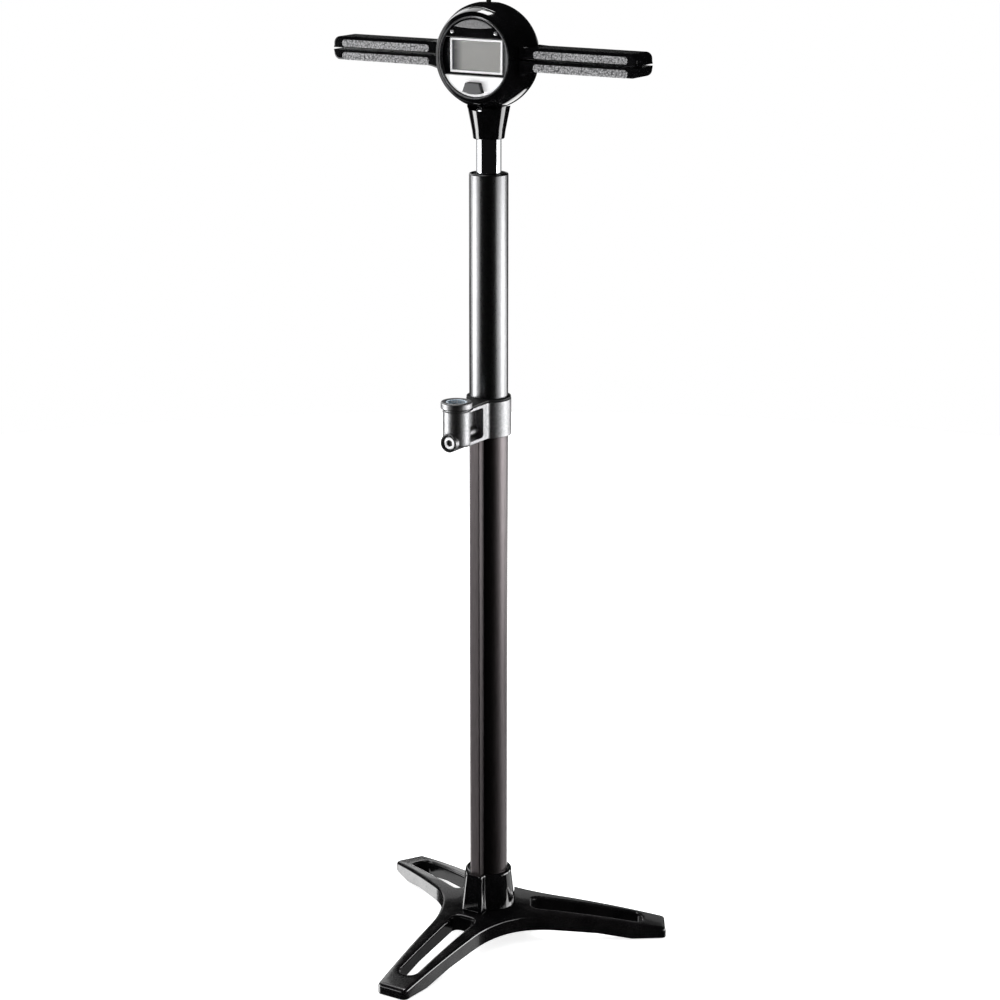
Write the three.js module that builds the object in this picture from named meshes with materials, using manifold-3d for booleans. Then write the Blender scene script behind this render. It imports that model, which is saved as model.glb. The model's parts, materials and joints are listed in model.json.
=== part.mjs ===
// Floor bike pump: three-legged cast base, two-piece barrel with an air rail, hose-port collar,
// chrome piston rod and a T handle whose round head holds a digital gauge.
// Millimetres, +Z up, the gauge faces -Y. Every size is worked out from the constants below.
import * as THREE from 'three';
import { mergeVertices } from 'three/addons/utils/BufferGeometryUtils.js';
import { ConvexGeometry } from 'three/addons/geometries/ConvexGeometry.js';
import Module from 'manifold-3d';

const wasm = await Module();
wasm.setup();

// ---- driving dimensions -------------------------------------------------------------------

const GAP = 0.3;              // clearance between pieces that touch
const OVER = 2;               // how far a cutting tool runs past the face it cuts

const ROUND = 24;             // sides of a round piece
const SMALL = 12;             // sides of a screw or a narrow hole
const HEAD_SIDES = 36;        // sides of the round head
const ARC = 3;                // steps in a rounded corner
const LONG_ARC = 8;           // steps in the edge of a panel

const LEG_TIP = 144.7;        // radius of the leg tips
const LEG_TIP_HALF = 13.2;    // half width at the tip
const LEG_TAPER = 0.09;       // how fast a leg widens towards the hub
const WEB_RADIUS = 38;        // closest approach of the curve between two legs
const LEG_ANGLES = { front: -90, right: 30, left: 150 };
const SLOT = { inner: 36, outer: 124.5, innerHalf: 10.2, outerHalf: 7.6 };
const HUB_TOP = 27.1;
const HUB_SEAT_R = 24;
const HUB_UNDER = 14.5;
const LEG_UNDER = 1;          // height of the leg tips' undersides above the floor
const PAD = { inner: 128, outer: 140.5, half: 8, top: 2.7 };

const BARREL_R = 15;
const BORE_R = 13.5;
const BARREL_FOOT = 34;
const BARREL_TOP = 623;
const TUBE_JOINT = 434.5;     // where the lower and the upper tube meet, inside the collar
const RAIL = { half: 4.4, front: -21, top: 424, ductR: 1.7, ductY: -17.8 };

const SOCKET = { foot: HUB_TOP + GAP, floor: 32, top: 57, footR: 22, topR: 18.9, rimR: 17.2 };
const LOBE = { footY: -27.3, topY: -24.9, footHalf: 9.5, topHalf: 7.4, corner: 1.2, top: 56.2 };

const BOLT_R = 4;
const BOLT = { headR: 6.5, keyR: 3, keyTop: 11.5, headFoot: 8.2, tip: 41 };
const VALVE = {
  y: -8.6, top: 50, ledge: 35.5, coneFoot: 46.5, inletR: 1.2, boreR: 2.6, seatR: 1.4, ballR: 2.2,
  ballZ: 45.7,
};

const COLLAR = { foot: 420, top: 448.7, r: 17.5, armHalf: 9 };
const CUP = { y: -46.6, r: 10.55, foot: 417.5, neck: 449.3, flangeR: 12.05, top: 455, boreR: 6.5 };
const PORT = { foot: 420.5, wellR: 4.5, ledge: 435.7, seat: 451.5, mouthR: 8.5 };
const PLUG = { z: 424.3, face: -57.3, bossR: 8, sinkR: 6.5, headR: 5.1, shankR: 2.9 };
const CAP_TOP = 450.6;
const POCKET = { back: -39.05, front: -23, foot: 423.7, top: 445.2, corner: 2.5, deep: 1.8 };
const AIR = { z: 427, r: 1.5, wallR: 3.5 };

const ROD_R = 9.6;
const ROD_BORE = 7.6;
const ROD_TOP = 741.5;
const BUSH = { foot: 596, top: 619.5 };
const PISTON = { foot: 54.3, top: 83.5, r: 13.2, spigotTop: 100 };

const HEAD_Z = 710.9;         // height of the head's and the handle's centre line
const SPLIT_FRONT = -16;      // joint between the bezel and the head body
const SPLIT_REAR = 11;        // joint between the head body and the rear cover
const HEAD_PROFILE = [        // [y, radius] of the round head, front to back
  [-21.6, 31.3], [-21.3, 33], [-20, 34.4], [-16, 36.4], [-12, 37.9], [-8, 39.3], [-3, 39.8],
  [3, 39.6], [8, 38.7], [13, 36.8], [16.5, 34.3], [18.5, 31.3], [19.5, 27],
];
const HEAD_R = 39.8;
const NECK_PROFILE = [[11.4, 649], [11.9, 649.5], [12.6, 655], [14.6, 666], [16.4, 674], [16.8, 682]];
const TAB = { halfX: 1.7, halfY: 1.2, top: 1.5 };   // the tab on the storage plug, above the head's crown
const FLAT_X = 33;            // the head is cut flat here where the handle arms are fitted
const FACE_R = 29;            // radius of the panels inside the bezel
const FACE_FRONT = -20.8;
const FACE_BACK = -16.6;
const BAND_TOP = 14.4;        // the display band runs between these heights about HEAD_Z
const BAND_FOOT = -13.6;
const LCD = { half: 22.8, foot: -11.7, top: 13.7, rim: 1.7, front: -17.9 };
const BADGE = { r: 28, half: 16.5, sag: 1.1 };
const BUTTON = { top: -18.5, foot: -25, topHalf: 5.9, footHalf: 8.4, front: -24.3, sag: 1.6 };

const COIN = { r: 10, doorR: 12.6 };
const REAR_SCREW = { at: 26, bossR: 3.6, holeR: 1.6, shankR: 1.3, sinkR: 2.6, headR: 2.3, seat: 15.2 };

const CAVITY = { r: 33, half: 30.3, rodBossR: 13.5, barHalf: 9, front: -7 };

const ARM = { end: 132.5, half: 12, top: 8.7, foot: -8.9, grooveTop: 0.2, grooveFoot: -1.2 };
const CORE = { inner: 13, outer: 127, half: 6, top: 3.8, foot: -4.2 };
const INSERT = { inner: 45.5, outer: 124.5, top: 6.5, mid: 1, low: -3, face: 12.3, back: 10.6 };

// ---- finishes -----------------------------------------------------------------------------

const finish = (color, roughness, metalness) => ({ color, roughness, metalness });
const GLOSS_BLACK = finish(0x0c0c0e, 0.18, 0);
const BLACK_PLASTIC = finish(0x141416, 0.45, 0);
const RUBBER = finish(0x101010, 0.85, 0);
const GRIP_GREY = finish(0xb4b4b6, 0.9, 0);
const CHROME = finish(0xd8dadd, 0.08, 1);
const DARK_METAL = finish(0x6a6a6e, 0.3, 0.9);
const CAST_METAL = finish(0x8d8d90, 0.35, 0.9);
const ANODISED = finish(0x5a5556, 0.5, 0.6);
const BRIGHT_METAL = finish(0xcfd0d2, 0.3, 1);
const SILVER_PLASTIC = finish(0xdcdcdc, 0.4, 0.1);
const DISPLAY_GREY = finish(0xa9a8a4, 0.35, 0);
const BOARD_GREEN = finish(0x1f5a33, 0.6, 0);

// ---- solid modelling helpers --------------------------------------------------------------

function signedVolume(geometry) {
  const p = geometry.getAttribute('position');
  const index = geometry.index.array;
  const [a, b, c] = [new THREE.Vector3(), new THREE.Vector3(), new THREE.Vector3()];
  let sum = 0;
  for (let i = 0; i < index.length; i += 3) {
    a.fromBufferAttribute(p, index[i]);
    b.fromBufferAttribute(p, index[i + 1]);
    c.fromBufferAttribute(p, index[i + 2]);
    sum += a.dot(b.cross(c));
  }
  return sum / 6;
}

// Shares vertices, drops triangles that have no area and turns the faces outwards.
function weld(geometry) {
  const bare = new THREE.BufferGeometry();
  bare.setAttribute('position', geometry.getAttribute('position'));
  bare.setIndex(geometry.index);
  const merged = mergeVertices(bare, 1e-4);
  const index = merged.index.array;
  const kept = [];
  for (let i = 0; i < index.length; i += 3) {
    const [a, b, c] = [index[i], index[i + 1], index[i + 2]];
    if (a !== b && b !== c && c !== a) kept.push(a, b, c);
  }
  merged.setIndex(kept);
  if (signedVolume(merged) < 0) merged.setIndex(kept.reverse());
  return merged;
}

function toSolid(geometry) {
  const welded = weld(geometry);
  return new wasm.Manifold(new wasm.Mesh({
    numProp: 3,
    vertProperties: new Float32Array(welded.getAttribute('position').array),
    triVerts: new Uint32Array(welded.index.array),
  }));
}

function toGeometry(solid) {
  const mesh = solid.getMesh();
  const geometry = new THREE.BufferGeometry();
  geometry.setAttribute('position', new THREE.BufferAttribute(new Float32Array(mesh.vertProperties), 3));
  geometry.setIndex(new THREE.BufferAttribute(new Uint32Array(mesh.triVerts), 1));
  return geometry;
}

const combine = (how, first, rest) =>
  toGeometry(rest.reduce((solid, tool) => solid[how](toSolid(tool)), toSolid(first)));
const cut = (first, ...tools) => combine('subtract', first, tools);
const join = (first, ...others) => combine('add', first, others);
const common = (first, ...others) => combine('intersect', first, others);

// ---- shape helpers ------------------------------------------------------------------------

const rad = THREE.MathUtils.degToRad;

function revolve(profile, segments) {
  const points = profile.map(([r, h]) => new THREE.Vector2(r, h));
  const onAxis = profile[0][0] === 0 && profile.at(-1)[0] === 0;
  if (!onAxis) points.push(points[0].clone());
  return new THREE.LatheGeometry(points, segments);
}

// A round piece about the Z axis, from [radius, z] points.
const turned = (profile, segments = ROUND) => revolve(profile, segments).rotateX(Math.PI / 2);

// A round piece about the head's own axis, from [radius, y] points.
const turnedOnHead = (profile, segments = HEAD_SIDES) => revolve(profile, segments).translate(0, 0, HEAD_Z);

const disc = (r, z0, z1, segments) => turned([[0, z0], [r, z0], [r, z1], [0, z1]], segments);
const ring = (r, bore, z0, z1, segments) =>
  turned([[bore, z0], [r, z0], [r, z1], [bore, z1]], segments);

// A cylinder or ring that lies along Y.
const alongY = (geometry, y, x, z) => geometry.rotateX(-Math.PI / 2).translate(x, y, z);
const rodAlongY = (r, y0, y1, x, z, segments) => alongY(disc(r, 0, y1 - y0, segments), y0, x, z);

const block = (x0, x1, y0, y1, z0, z1) =>
  new THREE.BoxGeometry(x1 - x0, y1 - y0, z1 - z0).translate((x0 + x1) / 2, (y0 + y1) / 2, (z0 + z1) / 2);

// An outline with rounded corners, from [x, y, corner radius] points in counter-clockwise order.
function roundedShape(corners) {
  const shape = new THREE.Shape();
  corners.forEach(([x, y, r = 0], i) => {
    const here = new THREE.Vector2(x, y);
    if (r === 0) {
      if (i === 0) shape.moveTo(x, y); else shape.lineTo(x, y);
      return;
    }
    const before = corners[(i + corners.length - 1) % corners.length];
    const after = corners[(i + 1) % corners.length];
    const back = new THREE.Vector2(before[0], before[1]).sub(here).normalize();
    const on = new THREE.Vector2(after[0], after[1]).sub(here).normalize();
    const half = Math.acos(THREE.MathUtils.clamp(back.dot(on), -1, 1)) / 2;
    const start = here.clone().addScaledVector(back, r / Math.tan(half));
    const end = here.clone().addScaledVector(on, r / Math.tan(half));
    const centre = here.clone().addScaledVector(back.add(on).normalize(), r / Math.sin(half));
    const from = Math.atan2(start.y - centre.y, start.x - centre.x);
    const to = Math.atan2(end.y - centre.y, end.x - centre.x);
    if (i === 0) shape.moveTo(start.x, start.y); else shape.lineTo(start.x, start.y);
    shape.absarc(centre.x, centre.y, r, from, to, false);
  });
  return shape;
}

const rectangle = (x0, x1, y0, y1, r) => roundedShape([[x0, y0, r], [x1, y0, r], [x1, y1, r], [x0, y1, r]]);

// An outline pushed up from z0 to z1.
const prism = (shape, z0, z1, curveSegments = ARC) =>
  new THREE.ExtrudeGeometry(shape, { depth: z1 - z0, bevelEnabled: false, curveSegments })
    .translate(0, 0, z0);

// An outline in the head's (x, height) plane, filling y0 to y1.
const facePrism = (shape, y0, y1, curveSegments = ARC) =>
  prism(shape, 0, y1 - y0, curveSegments).rotateX(Math.PI / 2).translate(0, y1, HEAD_Z);

// The part of a disc of radius r between two heights.
function discBand(r, low, high) {
  const shape = new THREE.Shape();
  const a = Math.asin(THREE.MathUtils.clamp(low / r, -1, 1));
  const b = Math.asin(THREE.MathUtils.clamp(high / r, -1, 1));
  shape.absarc(0, 0, r, a, b, false);
  shape.absarc(0, 0, r, Math.PI - b, Math.PI - a, false);
  return shape;
}

// ---- the scene graph ----------------------------------------------------------------------

const pump = new THREE.Group();

function add(name, geometry, look) {
  const mesh = new THREE.Mesh(weld(geometry), new THREE.MeshStandardMaterial(look));
  mesh.name = name;
  pump.add(mesh);
}

// ---- base ---------------------------------------------------------------------------------

// One tapered leg after another, joined by concave arcs that are tangent to the leg edges.
function baseOutline() {
  const tipCorner = 4;
  const slant = Math.hypot(1, LEG_TAPER);
  const swing = Math.atan(LEG_TAPER);
  const edge = LEG_TIP_HALF + LEG_TAPER * LEG_TIP;
  const reach = LEG_TAPER / 2 + Math.sin(rad(60));
  const arcR = (WEB_RADIUS * reach - edge) / (slant - reach);
  const cornerAt = LEG_TIP - tipCorner;
  const cornerSide = edge - LEG_TAPER * cornerAt - tipCorner * slant;
  const shape = new THREE.Shape();
  for (const angle of Object.values(LEG_ANGLES)) {
    const turn = rad(angle);
    const at = (r, s) => new THREE.Vector2(r, s).rotateAround(new THREE.Vector2(), turn);
    const right = at(cornerAt, -cornerSide);
    const left = at(cornerAt, cornerSide);
    const hollow = at((WEB_RADIUS + arcR) / 2, (WEB_RADIUS + arcR) * Math.sin(rad(60)));
    shape.absarc(right.x, right.y, tipCorner, turn - rad(90) + swing, turn, false);
    shape.absarc(left.x, left.y, tipCorner, turn, turn + rad(90) - swing, false);
    shape.absarc(hollow.x, hollow.y, arcR, turn - rad(90) - swing, turn - rad(150) + swing, true);
  }
  return shape;
}

const baseTopAt = (r) => 29 - 0.07 * r - 0.000465 * r * r;

function baseDome() {
  const rim = LEG_TIP + 5;
  const under = [[0, HUB_UNDER], [12, HUB_UNDER], [34, 13], [58, 10.3], [91, 6.6], [118, LEG_UNDER]];
  const top = [rim, 128, 105, 82, 60, 40].map((r) => [r, baseTopAt(r)]);
  return turned([...under, [rim, LEG_UNDER], ...top, [HUB_SEAT_R, HUB_TOP], [0, HUB_TOP]]);
}

function legSlot(angle) {
  const shape = roundedShape([
    [SLOT.inner, -SLOT.innerHalf, 5], [SLOT.outer, -SLOT.outerHalf, 6.5],
    [SLOT.outer, SLOT.outerHalf, 6.5], [SLOT.inner, SLOT.innerHalf, 5],
  ]);
  return prism(shape, -OVER, HUB_TOP + OVER, 2).rotateZ(rad(angle));
}

function padSolid(angle, grow, z0, z1) {
  const shape = rectangle(PAD.inner - grow, PAD.outer + grow, -PAD.half - grow, PAD.half + grow, 3);
  return prism(shape, z0, z1, 2).rotateZ(rad(angle));
}

function buildBase() {
  const angles = Object.values(LEG_ANGLES);
  const casting = cut(
    common(prism(baseOutline(), 0, HUB_TOP + OVER, 4), baseDome()),
    disc(BOLT_R + GAP, 0, HUB_TOP + OVER, SMALL),
    ...angles.map(legSlot),
    ...angles.map((angle) => padSolid(angle, GAP, -OVER, PAD.top + GAP)),
  );
  add('base_casting', casting, GLOSS_BLACK);
  for (const [side, angle] of Object.entries(LEG_ANGLES)) {
    add(`foot_pad_${side}`, padSolid(angle, 0, 0, PAD.top), RUBBER);
  }
  const headTop = HUB_UNDER - GAP;
  const { headR, keyR, keyTop, headFoot, tip } = BOLT;
  add('base_bolt', turned([
    [0, keyTop], [keyR, keyTop], [keyR, headFoot], [headR, headFoot], [headR, headTop],
    [BOLT_R, headTop], [BOLT_R, tip], [0, tip],
  ], SMALL), BRIGHT_METAL);
}

// ---- socket and foot valve ----------------------------------------------------------------

function lobe() {
  const corners = [[SOCKET.foot, LOBE.footY, LOBE.footHalf], [LOBE.top, LOBE.topY, LOBE.topHalf]];
  const points = corners.flatMap(([z, y, half]) => [-1, 1].flatMap((side) => [
    new THREE.Vector3(side * (half - LOBE.corner), y, z),
    new THREE.Vector3(side * half, y + LOBE.corner, z),
    new THREE.Vector3(side * half, -6, z),
  ]));
  return new ConvexGeometry(points);
}

function buildSocket() {
  const { foot, floor, top, footR, topR, rimR } = SOCKET;
  const cup = turned([
    [0, foot], [footR, foot], [topR, top - 2.5], [rimR + 1, top - 0.7], [rimR, top], [0, top],
  ]);
  const side = RAIL.half + GAP;
  add('base_socket', cut(
    join(cup, lobe()),
    disc(BARREL_R + GAP, floor, top + OVER),
    block(-side, side, RAIL.front - GAP, 0, floor, top + OVER),
    disc(BOLT_R + GAP, 0, floor + OVER, SMALL),
  ), GLOSS_BLACK);
  add('barrel_gasket', cut(
    ring(BARREL_R, 10, floor + GAP, BARREL_FOOT - GAP),
    block(-2.5, 2.5, -BARREL_R - OVER, -OVER, floor, BARREL_FOOT),
  ), RUBBER);
}

class Coil extends THREE.Curve {
  constructor(radius, z0, z1, turns, y) {
    super();
    Object.assign(this, { radius, z0, z1, turns, y });
  }

  getPoint(t, target = new THREE.Vector3()) {
    const a = 2 * Math.PI * this.turns * t;
    const z = this.z0 + (this.z1 - this.z0) * t;
    return target.set(this.radius * Math.cos(a), this.y + this.radius * Math.sin(a), z);
  }
}

function buildFootValve() {
  const { top, y, inletR, boreR, seatR, coneFoot, ballR, ballZ, ledge } = VALVE;
  const passage = turned([
    [0, BARREL_FOOT - OVER], [inletR, BARREL_FOOT - OVER], [inletR, ledge], [boreR, ledge],
    [boreR, coneFoot], [seatR, coneFoot + boreR - seatR], [seatR, top + OVER], [0, top + OVER],
  ], SMALL).translate(0, y, 0);
  add('foot_valve_body', cut(
    disc(PISTON.r, BARREL_FOOT, top),
    passage,
    disc(BOLT_R + GAP, BARREL_FOOT - OVER, BOLT.tip + 1, SMALL),
  ), DARK_METAL);
  const ball = new THREE.SphereGeometry(ballR, SMALL, SMALL / 2).translate(0, y, ballZ);
  add('foot_valve_ball', ball, BRIGHT_METAL);
  const wire = new THREE.Shape().absarc(0, 0, 0.3, 0, 2 * Math.PI, false);
  const coil = new Coil(1.7, ledge + 0.6, ballZ - ballR - 0.6, 4, y);
  add('foot_valve_spring', new THREE.ExtrudeGeometry(wire, {
    steps: 32, extrudePath: coil, curveSegments: 2, bevelEnabled: false,
  }), BRIGHT_METAL);
}

// ---- barrel and collar --------------------------------------------------------------------

function buildBarrel() {
  const join0 = Math.acos(RAIL.half / BARREL_R);
  const section = new THREE.Shape();
  section.absarc(0, 0, BARREL_R, -join0, Math.PI + join0, false);
  section.lineTo(-RAIL.half, RAIL.front + 0.6);
  section.lineTo(-RAIL.half + 0.6, RAIL.front);
  section.lineTo(RAIL.half - 0.6, RAIL.front);
  section.lineTo(RAIL.half, RAIL.front + 0.6);
  section.holes.push(new THREE.Path().absarc(0, 0, BORE_R, 0, 2 * Math.PI, false));
  section.holes.push(new THREE.Path().absarc(0, RAIL.ductY, RAIL.ductR, 0, 2 * Math.PI, false));
  add('lower_barrel', cut(
    prism(section, BARREL_FOOT, TUBE_JOINT - GAP / 2, ROUND / 2),
    block(-6, 6, RAIL.front - OVER, -BARREL_R, RAIL.top, TUBE_JOINT),
  ), ANODISED);
  add('upper_barrel', turned([
    [BORE_R, TUBE_JOINT + GAP / 2], [BARREL_R, TUBE_JOINT + GAP / 2], [BARREL_R, BARREL_TOP - 0.8],
    [BARREL_R - 0.8, BARREL_TOP], [BORE_R, BARREL_TOP],
  ]), DARK_METAL);
  add('rod_guide_bush', ring(PISTON.r, ROD_R + GAP, BUSH.foot, BUSH.top), BLACK_PLASTIC);
  add('rod_wiper', turned([
    [ROD_R + GAP, BUSH.top + GAP], [PISTON.r, BUSH.top + GAP], [PISTON.r, BARREL_TOP - 1.4],
    [ROD_R + 1.6, BARREL_TOP - 0.5], [ROD_R + GAP, BARREL_TOP - 0.5],
  ]), RUBBER);
}

function collarPockets() {
  const { back, front, foot, top, corner, deep } = POCKET;
  const shape = rectangle(back, front, foot, top, corner);
  const airPassage = rodAlongY(AIR.wallR, CUP.y, 0, 0, AIR.z, SMALL);
  return [-1, 1].map((side) => {
    const pocket = prism(shape, deep, COLLAR.armHalf + OVER)
      .applyMatrix4(new THREE.Matrix4().set(0, 0, side, 0, 1, 0, 0, 0, 0, 1, 0, 0, 0, 0, 0, 1));
    return cut(pocket, airPassage.clone());
  });
}

function buildCollar() {
  const { foot, top, r, armHalf } = COLLAR;
  const clamp = turned([[0, foot], [r - 0.8, foot], [r, foot + 0.8], [r, top], [0, top]]);
  const arm = cut(block(-armHalf, armHalf, CUP.y, 0, foot + 0.5, top - 0.2), ...collarPockets());
  const cup = turned([
    [0, CUP.foot], [CUP.r - 1.5, CUP.foot], [CUP.r, CUP.foot + 1.5], [CUP.r, CUP.neck],
    [CUP.flangeR, CUP.neck + 0.9], [CUP.flangeR, CUP.top - 0.8], [CUP.flangeR - 0.8, CUP.top],
    [0, CUP.top],
  ]).translate(0, CUP.y, 0);
  const boss = rodAlongY(PLUG.bossR, PLUG.face, CUP.y, 0, PLUG.z);
  const rail = RAIL.half + GAP;
  const portBore = turned([
    [0, PORT.foot], [PORT.wellR, PORT.foot], [PORT.wellR, PORT.ledge], [CUP.boreR, PORT.ledge],
    [CUP.boreR, PORT.seat], [PORT.mouthR, PORT.seat], [PORT.mouthR, CUP.top + OVER], [0, CUP.top + OVER],
  ]).translate(0, CUP.y, 0);
  add('collar_body', cut(
    join(clamp, arm, cup, boss),
    disc(BARREL_R + GAP, foot - OVER, top + OVER),
    block(-rail, rail, RAIL.front - GAP, 0, foot - OVER, TUBE_JOINT + GAP),
    portBore,
    rodAlongY(AIR.r, CUP.y, -BARREL_R, 0, AIR.z, SMALL),
    rodAlongY(PLUG.sinkR, PLUG.face - OVER, PLUG.face + 5.5, 0, PLUG.z),
    rodAlongY(PLUG.shankR + GAP, PLUG.face, CUP.y, 0, PLUG.z, SMALL),
  ), CAST_METAL);
  add('collar_cap', cut(
    join(disc(r - GAP, top + GAP, CAP_TOP), block(-8.6, 8.6, CUP.y, 0, top + GAP, CAP_TOP)),
    disc(BARREL_R + GAP, top, CAP_TOP + OVER),
    disc(CUP.flangeR + GAP, top, CAP_TOP + OVER).translate(0, CUP.y, 0),
    block(-CUP.flangeR, CUP.flangeR, CUP.y - OVER, CUP.y + 6, top, CAP_TOP + OVER),
  ), RUBBER);
  const magnet = ring(PORT.mouthR - GAP, CUP.boreR + 0.2, PORT.seat + GAP, CUP.top - 0.4);
  add('port_magnet', magnet.translate(0, CUP.y, 0), BRIGHT_METAL);
  const seal = ring(CUP.boreR - GAP, 3.6, PORT.ledge + GAP, PORT.ledge + 2.3);
  add('port_seal', seal.translate(0, CUP.y, 0), RUBBER);
}

function buildPortPlug() {
  const face = PLUG.face + 0.2;
  const screw = turned([
    [0, 3], [2.5, 3], [2.5, 0], [PLUG.headR - 0.6, 0], [PLUG.headR, 0.6], [PLUG.headR, 5],
    [PLUG.shankR, 5], [PLUG.shankR, 8.6], [0, 8.6],
  ], 18);
  add('port_plug_screw', alongY(screw, face, 0, PLUG.z), BRIGHT_METAL);
  const washer = ring(PLUG.sinkR - GAP, PLUG.headR + GAP, 0.5, 5);
  add('port_plug_seal', alongY(washer, face, 0, PLUG.z), RUBBER);
}

// ---- piston and rod -----------------------------------------------------------------------

function buildPiston() {
  const { foot, top, r, spigotTop } = PISTON;
  const spigot = ROD_BORE - GAP;
  add('piston_head', turned([
    [0, foot], [r - 1, foot], [r, foot + 1], [r, 60], [10.8, 60], [10.8, 66], [r, 66], [r, 74],
    [12, 74], [12, 79], [r, 79], [r, top - 0.6], [r - 0.6, top], [spigot, top],
    [spigot, spigotTop - 1], [spigot - 1, spigotTop], [0, spigotTop],
  ]), BLACK_PLASTIC);
  add('piston_seal', turned([[11.1, 60.3], [12.9, 60.3], [r, 63], [12.9, 65.7], [11.1, 65.7]]), RUBBER);
  add('piston_guide_ring', ring(r, 12.3, 74.3, 78.7), SILVER_PLASTIC);
  add('piston_bumper', ring(12, 4, VALVE.top + GAP, foot - GAP), RUBBER);
  add('piston_rod', ring(ROD_R, ROD_BORE, top + GAP, ROD_TOP), CHROME);
}

// ---- head ---------------------------------------------------------------------------------

const radiusAt = (y) => {
  const i = HEAD_PROFILE.findIndex(([at]) => at >= y);
  const [y1, r1] = HEAD_PROFILE[i];
  const [y0, r0] = HEAD_PROFILE[Math.max(i - 1, 0)];
  return y1 === y0 ? r1 : r0 + (r1 - r0) * (y - y0) / (y1 - y0);
};

// The head's outer profile from y0 to y1, as [radius, y] points.
const headSkin = (y0, y1) => [
  [radiusAt(y0), y0],
  ...HEAD_PROFILE.filter(([y]) => y > y0 && y < y1).map(([y, r]) => [r, y]),
  [radiusAt(y1), y1],
];

// Cuts the two flats that the handle arms lie against.
const armFlats = () => [-1, 1].map((side) => {
  const far = side * 45;
  const near = side * FLAT_X;
  const top = HEAD_Z + ARM.top + 1;
  return block(Math.min(near, far), Math.max(near, far), -30, 30, HEAD_Z - 30, top);
});

const rearScrewSpots = [50, 130, 230, 310].map((angle) =>
  [REAR_SCREW.at * Math.cos(rad(angle)), HEAD_Z + REAR_SCREW.at * Math.sin(rad(angle))]);
const atRearScrews = (r, y0, y1) => rearScrewSpots.map(([x, z]) => rodAlongY(r, y0, y1, x, z, SMALL));

// The hollow in the back of the head body, around the rod boss, the arm bar and the screw bosses.
function headCavity(y0, y1) {
  const { r, half, rodBossR, barHalf } = CAVITY;
  return cut(
    common(rodAlongY(r, y0, y1, 0, HEAD_Z), block(-half, half, y0, y1, HEAD_Z - r, HEAD_Z + r)),
    disc(rodBossR, HEAD_Z - r - OVER, HEAD_Z + r + OVER),
    block(-r, r, -barHalf, barHalf, HEAD_Z - barHalf + 1, HEAD_Z + barHalf - 1),
    ...atRearScrews(REAR_SCREW.bossR, y0 - OVER, y1 + OVER),
  );
}

function buildHead() {
  const bodyFront = SPLIT_FRONT + GAP;
  const coverFront = SPLIT_REAR + GAP;
  const coreHole = (side) => {
    const [x0, x1] = [side * (CORE.inner - GAP), side * (FLAT_X + OVER)].sort((a, b) => a - b);
    const [foot, top] = [HEAD_Z + CORE.foot - GAP, HEAD_Z + CORE.top + GAP];
    return block(x0, x1, -CORE.half - GAP, CORE.half + GAP, foot, top);
  };
  add('head_body', cut(
    turnedOnHead([[0, bodyFront], ...headSkin(bodyFront, SPLIT_REAR), [0, SPLIT_REAR]]),
    rodAlongY(FACE_R + GAP, bodyFront - OVER, -11.6, 0, HEAD_Z),
    headCavity(CAVITY.front, SPLIT_REAR + OVER),
    disc(ROD_R + GAP, HEAD_Z - 45, ROD_TOP + GAP),
    disc(ROD_BORE, ROD_TOP, HEAD_Z + 45),
    coreHole(-1), coreHole(1),
    ...armFlats(),
    ...atRearScrews(REAR_SCREW.holeR, 3, SPLIT_REAR + OVER),
  ), GLOSS_BLACK);
  add('head_bezel', cut(
    turnedOnHead([
      ...headSkin(HEAD_PROFILE[0][0], SPLIT_FRONT), [FACE_R + GAP, SPLIT_FRONT], [FACE_R + GAP, -17.7],
      [31.3, -17.7],
    ]),
    ...armFlats(),
  ), GLOSS_BLACK);
  add('bezel_trim_ring', turnedOnHead([
    [FACE_R + GAP, -21.8], [30.6, -22], [31, -21.6], [31, -18], [FACE_R + GAP, -18],
  ]), CAST_METAL);
  add('head_rear_cover', cut(
    turnedOnHead([[0, coverFront], ...headSkin(coverFront, 19.5), [0, 19.5]]),
    cut(
      alongY(turned([[0, 0], [30.3, 0], [30.3, 5], [27.5, 7.3], [0, 7.3]]), 9, 0, HEAD_Z),
      ...atRearScrews(REAR_SCREW.bossR, 0, 20),
    ),
    rodAlongY(COIN.doorR + 0.4, 15, 25, 0, HEAD_Z),
    ...armFlats(),
    ...atRearScrews(REAR_SCREW.holeR, 10, 25),
    ...atRearScrews(REAR_SCREW.sinkR, REAR_SCREW.seat, 25),
  ), GLOSS_BLACK);
  const [neckFoot, neckTop] = [NECK_PROFILE[0][1], NECK_PROFILE.at(-1)[1]];
  add('neck', cut(
    turned([[ROD_R + GAP, neckFoot], ...NECK_PROFILE, [ROD_R + GAP, neckTop]]),
    rodAlongY(HEAD_PROFILE[6][1] + GAP, -30, 30, 0, HEAD_Z, 56),
  ), GLOSS_BLACK);
  const crown = HEAD_Z + HEAD_R;
  add('storage_plug', join(
    disc(ROD_BORE - GAP, ROD_TOP + GAP, crown - 0.9),
    block(-TAB.halfX, TAB.halfX, -TAB.halfY, TAB.halfY, crown - OVER, crown + TAB.top),
  ), BLACK_PLASTIC);
  const { shankR, headR, seat } = REAR_SCREW;
  const length = 10;
  rearScrewSpots.forEach(([x, z], i) => {
    const screw = turned([
      [0, 0], [shankR, 0], [shankR, length], [headR, length], [headR, length + 2], [0, length + 2],
    ], SMALL);
    add(`rear_screw_${i + 1}`, alongY(screw, seat + GAP - length, x, z), BRIGHT_METAL);
  });
}

// ---- gauge --------------------------------------------------------------------------------

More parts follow.
